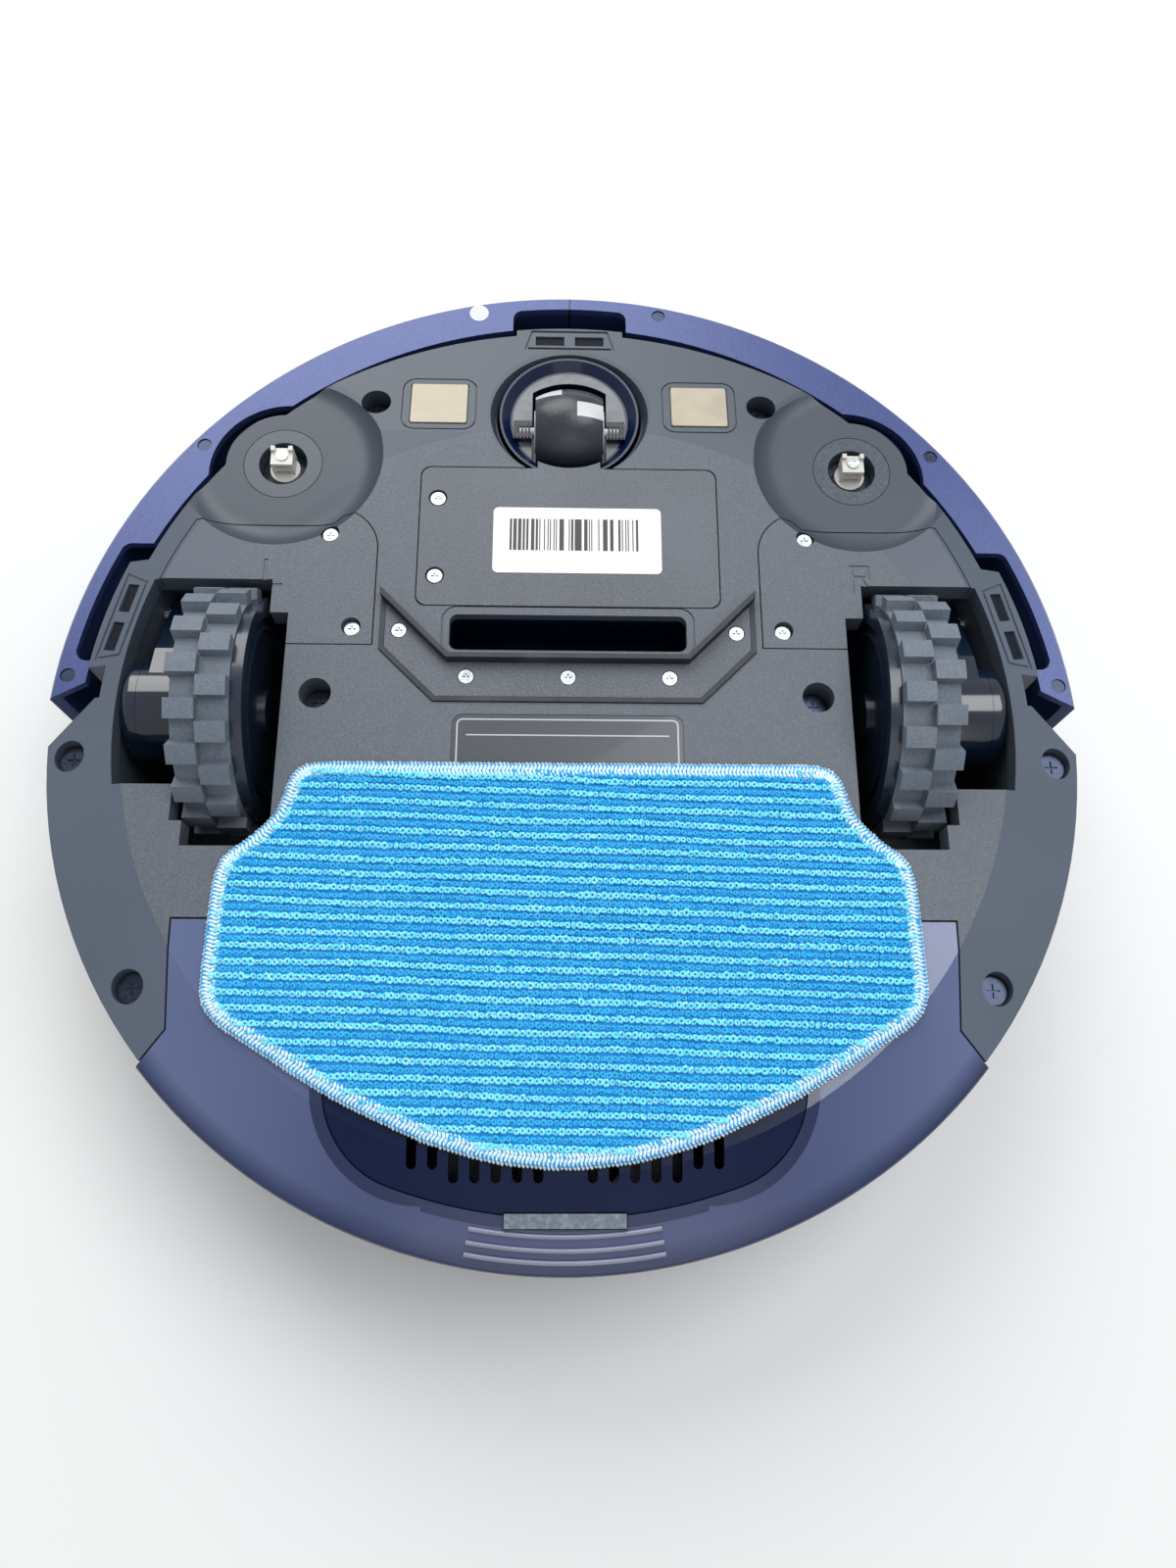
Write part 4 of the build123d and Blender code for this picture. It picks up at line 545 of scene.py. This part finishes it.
nodeFinish = {
    "battery_cover": "cover", "battery_pack": "battery", "bin_filter": "filter",
    "bin_latch": "latch", "bin_panel": "panel", "bin_shell": "smoke", "brush_bezels": "bezel",
    "bumper_screws": "blackScrew", "bumper_shell": "bumper", "bumper_springs": "steel",
    "bumper_switches": "fan", "bumper_window": "window", "castor_core": "castorCore",
    "castor_swivel": "castor", "castor_tyre": "castorTyre", "charging_contacts": "contact",
    "chassis_base": "chassis", "chassis_screws": "blackScrew", "cliff_windows": "sensor",
    "cover_screws": "screw", "fan_housing": "fan", "fan_impeller": "fan", "inlet_frame": "inlet",
    "inlet_screws": "screw", "inlet_squeegee": "blade", "main_board": "board",
    "mop_cloth": "seal", "pivot_pins": "steel", "power_button": "button",
    "rating_plate": "plate", "screw_seal": "seal", "serial_label": "label",
    "suction_duct": "duct", "suspension_springs": "steel", "top_cover": "lid",
    "upper_housing": "housing",
}
sideFinish = {
    "brush_motor": "arm", "brush_screw": "screw", "brush_shaft": "ivory", "drive_motor": "gear",
    "gearbox_cover": "gear", "tyre": "tyre", "wheel_axle": "steel", "wheel_cover": "chassis",
    "wheel_gearbox": "gear", "wheel_hub": "hub",
}
for side in ("left", "right"):
    for name, finish in sideFinish.items():
        nodeFinish[f"{side}_{name}"] = finish
for name, finish in nodeFinish.items():
    mesh = nodes[name].data
    mesh.materials.clear()
    mesh.materials.append(finishes[finish])
print("finishes set on the frame's nodes")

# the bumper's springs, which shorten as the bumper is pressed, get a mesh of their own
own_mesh(nodes["bumper_springs"])


def newPiece(name, bm, body, materials, smooth=True):
    mesh = bpy.data.meshes.new(name)
    bm.to_mesh(mesh)
    bm.free()
    for mat in materials:
        mesh.materials.append(mat)
    if smooth:
        mesh.shade_smooth()
    obj = bpy.data.objects.new(name, mesh)
    bpy.context.scene.collection.objects.link(obj)
    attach(obj, body)
    return obj


mop = {
    "outline": (
        (0, -15.4), (68, -15.4), (71.8, -19.5), (73, -28), (80, -35.6), (87.3, -41), (88.4, -48),
        (89, -76), (86, -81), (56, -99), (34, -109), (17, -113.8), (0, -115.4),
    ),  # mm, right half from the front to the rear
    "underside": 68.4, "backing": 1.2, "backingStep": 2.5,  # mm
    "grid": 4, "gridX": (-88, 90), "gridY": (-110, -16),  # mm
    "wave": 0.28, "waveScale": (0.022, 0.030),  # mm, per mm
    "creaseDepth": 0.22, "creaseY": -58, "creaseHalf": 1.6,  # mm
    "rowStart": -16.0, "rowEnd": -118, "rowHalf": 92, "rowPitch": 1.9,  # mm
    "rowTilt": -1.6, "rowSway": 0.5,  # degrees, mm
    "loopPitch": 1.5, "loopRadius": 0.56, "threadRadius": 0.35,  # mm
    "hem": 3.4, "stitchPitch": 1.0, "stitchThick": (0.46, 0.40),  # mm
    "seed": 7,
}
mopRows = (
    # piece, height over the backing mm, size of a loop, share of the row pitch
    ("mopPaleLoops", 0.42, 1.14, 1.04),
    ("mopBlueLoops", 0.24, 0.98, 0.96),
)
mopStitches = (
    # distance from the edge mm, height mm, slant and dip in degrees
    (0.0, 0.55, 24, -48),
    (1.35, 1.25, -24, -12),
    (2.7, 1.35, 24, 10),
)
mopColors = {
    # raised colour, painted shade colour for the hollows, depth of the fuzz m
    "mopBlue": ((0.001, 0.52, 0.90), (0.0, 0.36, 0.74), 0.0002),
    "mopPale": ((0.36, 0.90, 0.97), (0.03, 0.62, 0.92), 0.0002),
    # the backing between the loops, coloured darker as painted shade in the gaps
    "mopGroundShade": ((0.0, 0.30, 0.70), (0.0, 0.22, 0.56), 0.0003),
    "mopEdge": ((0.82, 0.91, 0.95), (0.46, 0.76, 0.90), 0.0002),
}


# matt yarn with a soft sheen and painted shade in its hollows
def clothMaterial(name):
    color, hollowShade, fuzz = mopColors[name]
    look = Look(name, color, 0.9, Sheen_Weight=0.6, Sheen_Roughness=0.5)
    look.shader.inputs["Sheen Tint"].default_value = (0.75, 0.9, 1.0, 1)
    fine = look.noise(1800, 3)
    patch = look.noise(35, 2)
    # painted shade: the darker hollow colour is mixed in by noise and in patches
    base = look.mixColor(look.ramp(fine, 0.35, 0.65), hollowShade, color)
    base = look.mixColor(look.ramp(patch, 0.35, 0.7, 0, 0.25), base, hollowShade)
    look.paint(base)
    look.bump(fine, 0.4, fuzz)
    return look.mat


# rounded outline of the cloth as evenly spaced points, in mm, anticlockwise from above
def mopOutline(step):
    right = [Vector(p) for p in mop["outline"]]
    left = [Vector((-p.x, p.y)) for p in reversed(right[1:-1])]
    corners = right + left
    curve = bpy.data.curves.new("mopOutline", "CURVE")
    curve.dimensions = "2D"
    line = curve.splines.new("NURBS")
    points = []
    for k, corner in enumerate(corners):
        after = corners[(k + 1) % len(corners)]
        gap = (after - corner).length
        parts = max(1, ceil(gap / 9))
        points += [corner.lerp(after, j / parts) for j in range(parts)]
    line.points.add(len(points) - 1)
    for spot, point in zip(line.points, points):
        spot.co = (point.x, point.y, 0, 1)
    line.order_u = 4
    line.use_cyclic_u = True
    line.resolution_u = 12
    holder = bpy.data.objects.new("mopOutline", curve)
    mesh = bpy.data.meshes.new_from_object(holder)
    ring = [v.co.xy for v in mesh.vertices]
    bpy.data.objects.remove(holder)
    bpy.data.curves.remove(curve)
    bpy.data.meshes.remove(mesh)
    total = sum((ring[k] - ring[k - 1]).length for k in range(len(ring)))
    count = round(total / step)
    spaced, walked, target = [], 0.0, 0.0
    for k in range(len(ring)):
        a, b = ring[k], ring[(k + 1) % len(ring)]
        gap = (b - a).length
        while gap and target <= walked + gap + 1e-9 and len(spaced) < count:
            spaced.append(a.lerp(b, (target - walked) / gap))
            target += total / count
        walked += gap
    if sum(spaced[k - 1].cross(spaced[k]) for k in range(len(spaced))) < 0:
        spaced.reverse()
    return spaced


# how far the cloth stands off the bin, in mm: soft waves and one crease across it
def mopLift(x, y):
    across, along = mop["waveScale"]
    wave = noise.noise(Vector((x * across, y * along, 3.1)))
    away = abs(y - mop["creaseY"] - 0.02 * x)
    crease = mop["creaseDepth"] * max(0, 1 - away / mop["creaseHalf"])
    return mop["wave"] + mop["wave"] * wave - crease


# whether a point lies in the ring and at least a margin from it, in mm
def inside(point, ring, margin):
    hits = 0
    for k in range(len(ring)):
        a, b = ring[k - 1], ring[k]
        if (a.y > point.y) != (b.y > point.y):
            if point.x < a.x + (point.y - a.y) / (b.y - a.y) * (b.x - a.x):
                hits += 1
        span = b - a
        share = max(0, min(1, (point - a).dot(span) / span.length_squared))
        if (a + span * share - point).length < margin:
            return False
    return hits % 2 == 1


# a small mesh to copy many times
def stampMesh(name, bm):
    mesh = bpy.data.meshes.new(name)
    bm.to_mesh(mesh)
    bm.free()
    return mesh


def stamp(bm, mesh, place):
    mesh.transform(place)
    bm.from_mesh(mesh)
    mesh.transform(place.inverted())


# the sheet that carries the loops, coloured darker as painted shade between them
def makeBacking(material):
    bm = bmesh.new()
    outline = mopOutline(mop["backingStep"])
    bm.faces.new([bm.verts.new((p.x * mm, p.y * mm, 0)) for p in outline])
    for axis, limits in (((0, 1, 0), mop["gridY"]), ((1, 0, 0), mop["gridX"])):
        for cut in range(*limits, mop["grid"]):
            bmesh.ops.bisect_plane(bm, geom=bm.verts[:] + bm.edges[:] + bm.faces[:],
                                   plane_co=Vector(axis) * (cut * mm), plane_no=axis)
    for v in bm.verts:
        v.co.z = (mop["underside"] + mopLift(v.co.x / mm, v.co.y / mm)) * mm
    bmesh.ops.recalc_face_normals(bm, faces=bm.faces)
    if bm.faces[:][0].normal.z < 0:
        bmesh.ops.reverse_faces(bm, faces=bm.faces)
    bmesh.ops.solidify(bm, geom=bm.faces[:], thickness=-mop["backing"] * mm)
    return newPiece("mopBacking", bm, "mop", [material])


# loop pile, in rows of pale and strong blue
def makeLoops(rng, ring, materials):
    bm = bmesh.new()
    upright = Matrix.Rotation(pi / 2, 4, "X")
    bmesh.ops.create_circle(bm, segments=4, radius=mop["threadRadius"] * mm,
                            matrix=Matrix.Translation((mop["loopRadius"] * mm, 0, 0)) @ upright)
    bmesh.ops.spin(bm, geom=bm.verts[:] + bm.edges[:], cent=(0, 0, 0), axis=(0, 0, 1),
                   angle=2 * pi, steps=6, use_merge=True)
    bmesh.ops.recalc_face_normals(bm, faces=bm.faces)
    loop = stampMesh("loop", bm)
    piles = [bmesh.new() for kind in mopRows]
    counts = [0] * len(mopRows)
    tilt = sin(radians(mop["rowTilt"]))
    row = 0
    y = mop["rowStart"]
    while y > mop["rowEnd"]:
        kind = row % 2
        rise, scale, share = mopRows[kind][1:]
        x = -mop["rowHalf"] + rng.uniform(0, mop["loopPitch"])
        while x < mop["rowHalf"]:
            sway = mop["rowSway"] * noise.noise(Vector((x * 0.03, row * 0.35, 9)))
            spot = Vector((x, y + x * tilt + sway + rng.uniform(-0.12, 0.12)))
            if inside(spot, ring, mop["hem"] * 0.62):
                height = mop["underside"] + mopLift(spot.x, spot.y) + mop["backing"] + rise
                size = rng.uniform(0.86, 1.14) * scale
                lean = Euler((radians(rng.uniform(-45, 12)), radians(rng.uniform(-30, 30)),
                              rng.uniform(0, 2 * pi)))
                center = Vector((spot.x, spot.y, height + rng.uniform(-0.08, 0.08))) * mm
                stretch = Vector((size, size * rng.uniform(0.75, 1.1), size * 1.15))
                stamp(piles[kind], loop, Matrix.LocRotScale(center, lean, stretch))
                counts[kind] += 1
            x += mop["loopPitch"] * rng.uniform(0.93, 1.07)
        y -= mop["rowPitch"] * share
        row += 1
    bpy.data.meshes.remove(loop)
    print("mop loops:", counts)
    return [newPiece(kind[0], pile, "mop", [material])
            for kind, pile, material in zip(mopRows, piles, materials)]


# overlocked edge: short threads wound over the rim of the cloth
def makeHem(rng, material):
    bm = bmesh.new()
    bmesh.ops.create_icosphere(bm, subdivisions=1, radius=1)
    thread = stampMesh("thread", bm)
    band = bmesh.new()
    wide, high = mop["stitchThick"]
    spots = mopOutline(mop["stitchPitch"])
    for k, edge in enumerate(spots):
        along = (spots[(k + 1) % len(spots)] - spots[k - 1]).normalized()
        inward = Vector((-along.y, along.x))
        for reach, rise, slant, dip in mopStitches:
            spot = edge + inward * (reach + rng.uniform(-0.12, 0.12))
            height = mop["underside"] + mopLift(spot.x, spot.y) + rise
            heading = atan2(inward.y, inward.x) + radians(slant) + rng.uniform(-0.15, 0.15)
            turn = Matrix.Rotation(heading, 4, "Z") @ Matrix.Rotation(radians(dip), 4, "Y")
            shape = Matrix.Diagonal((rng.uniform(1.1, 1.45) * mm, wide * mm, high * mm, 1))
            center = Matrix.Translation(Vector((spot.x, spot.y, height)) * mm)
            stamp(band, thread, center @ turn @ shape)
    bpy.data.meshes.remove(thread)
    return newPiece("mopEdgeStitches", band, "mop", [material])


def makeMop():
    rng = random.Random(mop["seed"])
    blue, pale, groundShade, edge = (clothMaterial(name) for name in mopColors)
    ring = mopOutline(1.5)
    # painted shade: the backing shows darker between the loops
    sheet = makeBacking(groundShade)
    loops = makeLoops(rng, ring, (pale, blue))
    hem = makeHem(rng, edge)
    for piece in (sheet, *loops, hem):
        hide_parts("mop_cloth")


makeMop()
print("mop cloth made")

ribs = {
    "radii": (130.6, 133.7, 136.4), "heights": (64.34, 63.47, 62.71), "wire": 0.62,  # mm
    "spread": 10,  # degrees to each side
}


# three raised lines behind the latch, to grip the bin by
def makeRibs():
    bm = bmesh.new()
    turn = Matrix.Rotation(radians(-ribs["spread"]), 4, "Z")
    upright = Matrix.Rotation(pi / 2, 4, "Y")
    for radius, height in zip(ribs["radii"], ribs["heights"]):
        place = turn @ Matrix.Translation((0, -radius * mm, height * mm)) @ upright
        made = bmesh.ops.create_circle(bm, segments=10, radius=ribs["wire"] * mm, matrix=place)
        ring = made["verts"]
        edges = list({e for v in ring for e in v.link_edges})
        bmesh.ops.spin(bm, geom=ring + edges, cent=(0, 0, 0), axis=(0, 0, 1),
                       angle=radians(2 * ribs["spread"]), steps=48)
    bmesh.ops.recalc_face_normals(bm, faces=bm.faces)
    newPiece("gripRibs", bm, "dust_bin", [finishes["ribs"]])


clips = {
    "y": 90, "z": 64.3, "startX": 11.2, "teeth": 5, "pitch": 1.0, "size": (0.5, 5.4, 0.7),  # mm
}


# black teeth of the clips that hold the castor's axle
def makeClips():
    bm = bmesh.new()
    scale = Matrix.Diagonal((*(v * mm for v in clips["size"]), 1))
    for side in (1, -1):
        for k in range(clips["teeth"]):
            x = side * (clips["startX"] + clips["pitch"] * (k + 0.5))
            place = Matrix.Translation((x * mm, clips["y"] * mm, clips["z"] * mm))
            bmesh.ops.create_cube(bm, size=1, matrix=place @ scale)
    newPiece("clipTeeth", bm, "castor_fork", [finishes["clip"]], smooth=False)


makeRibs()
makeClips()
print("ribs and clips made")
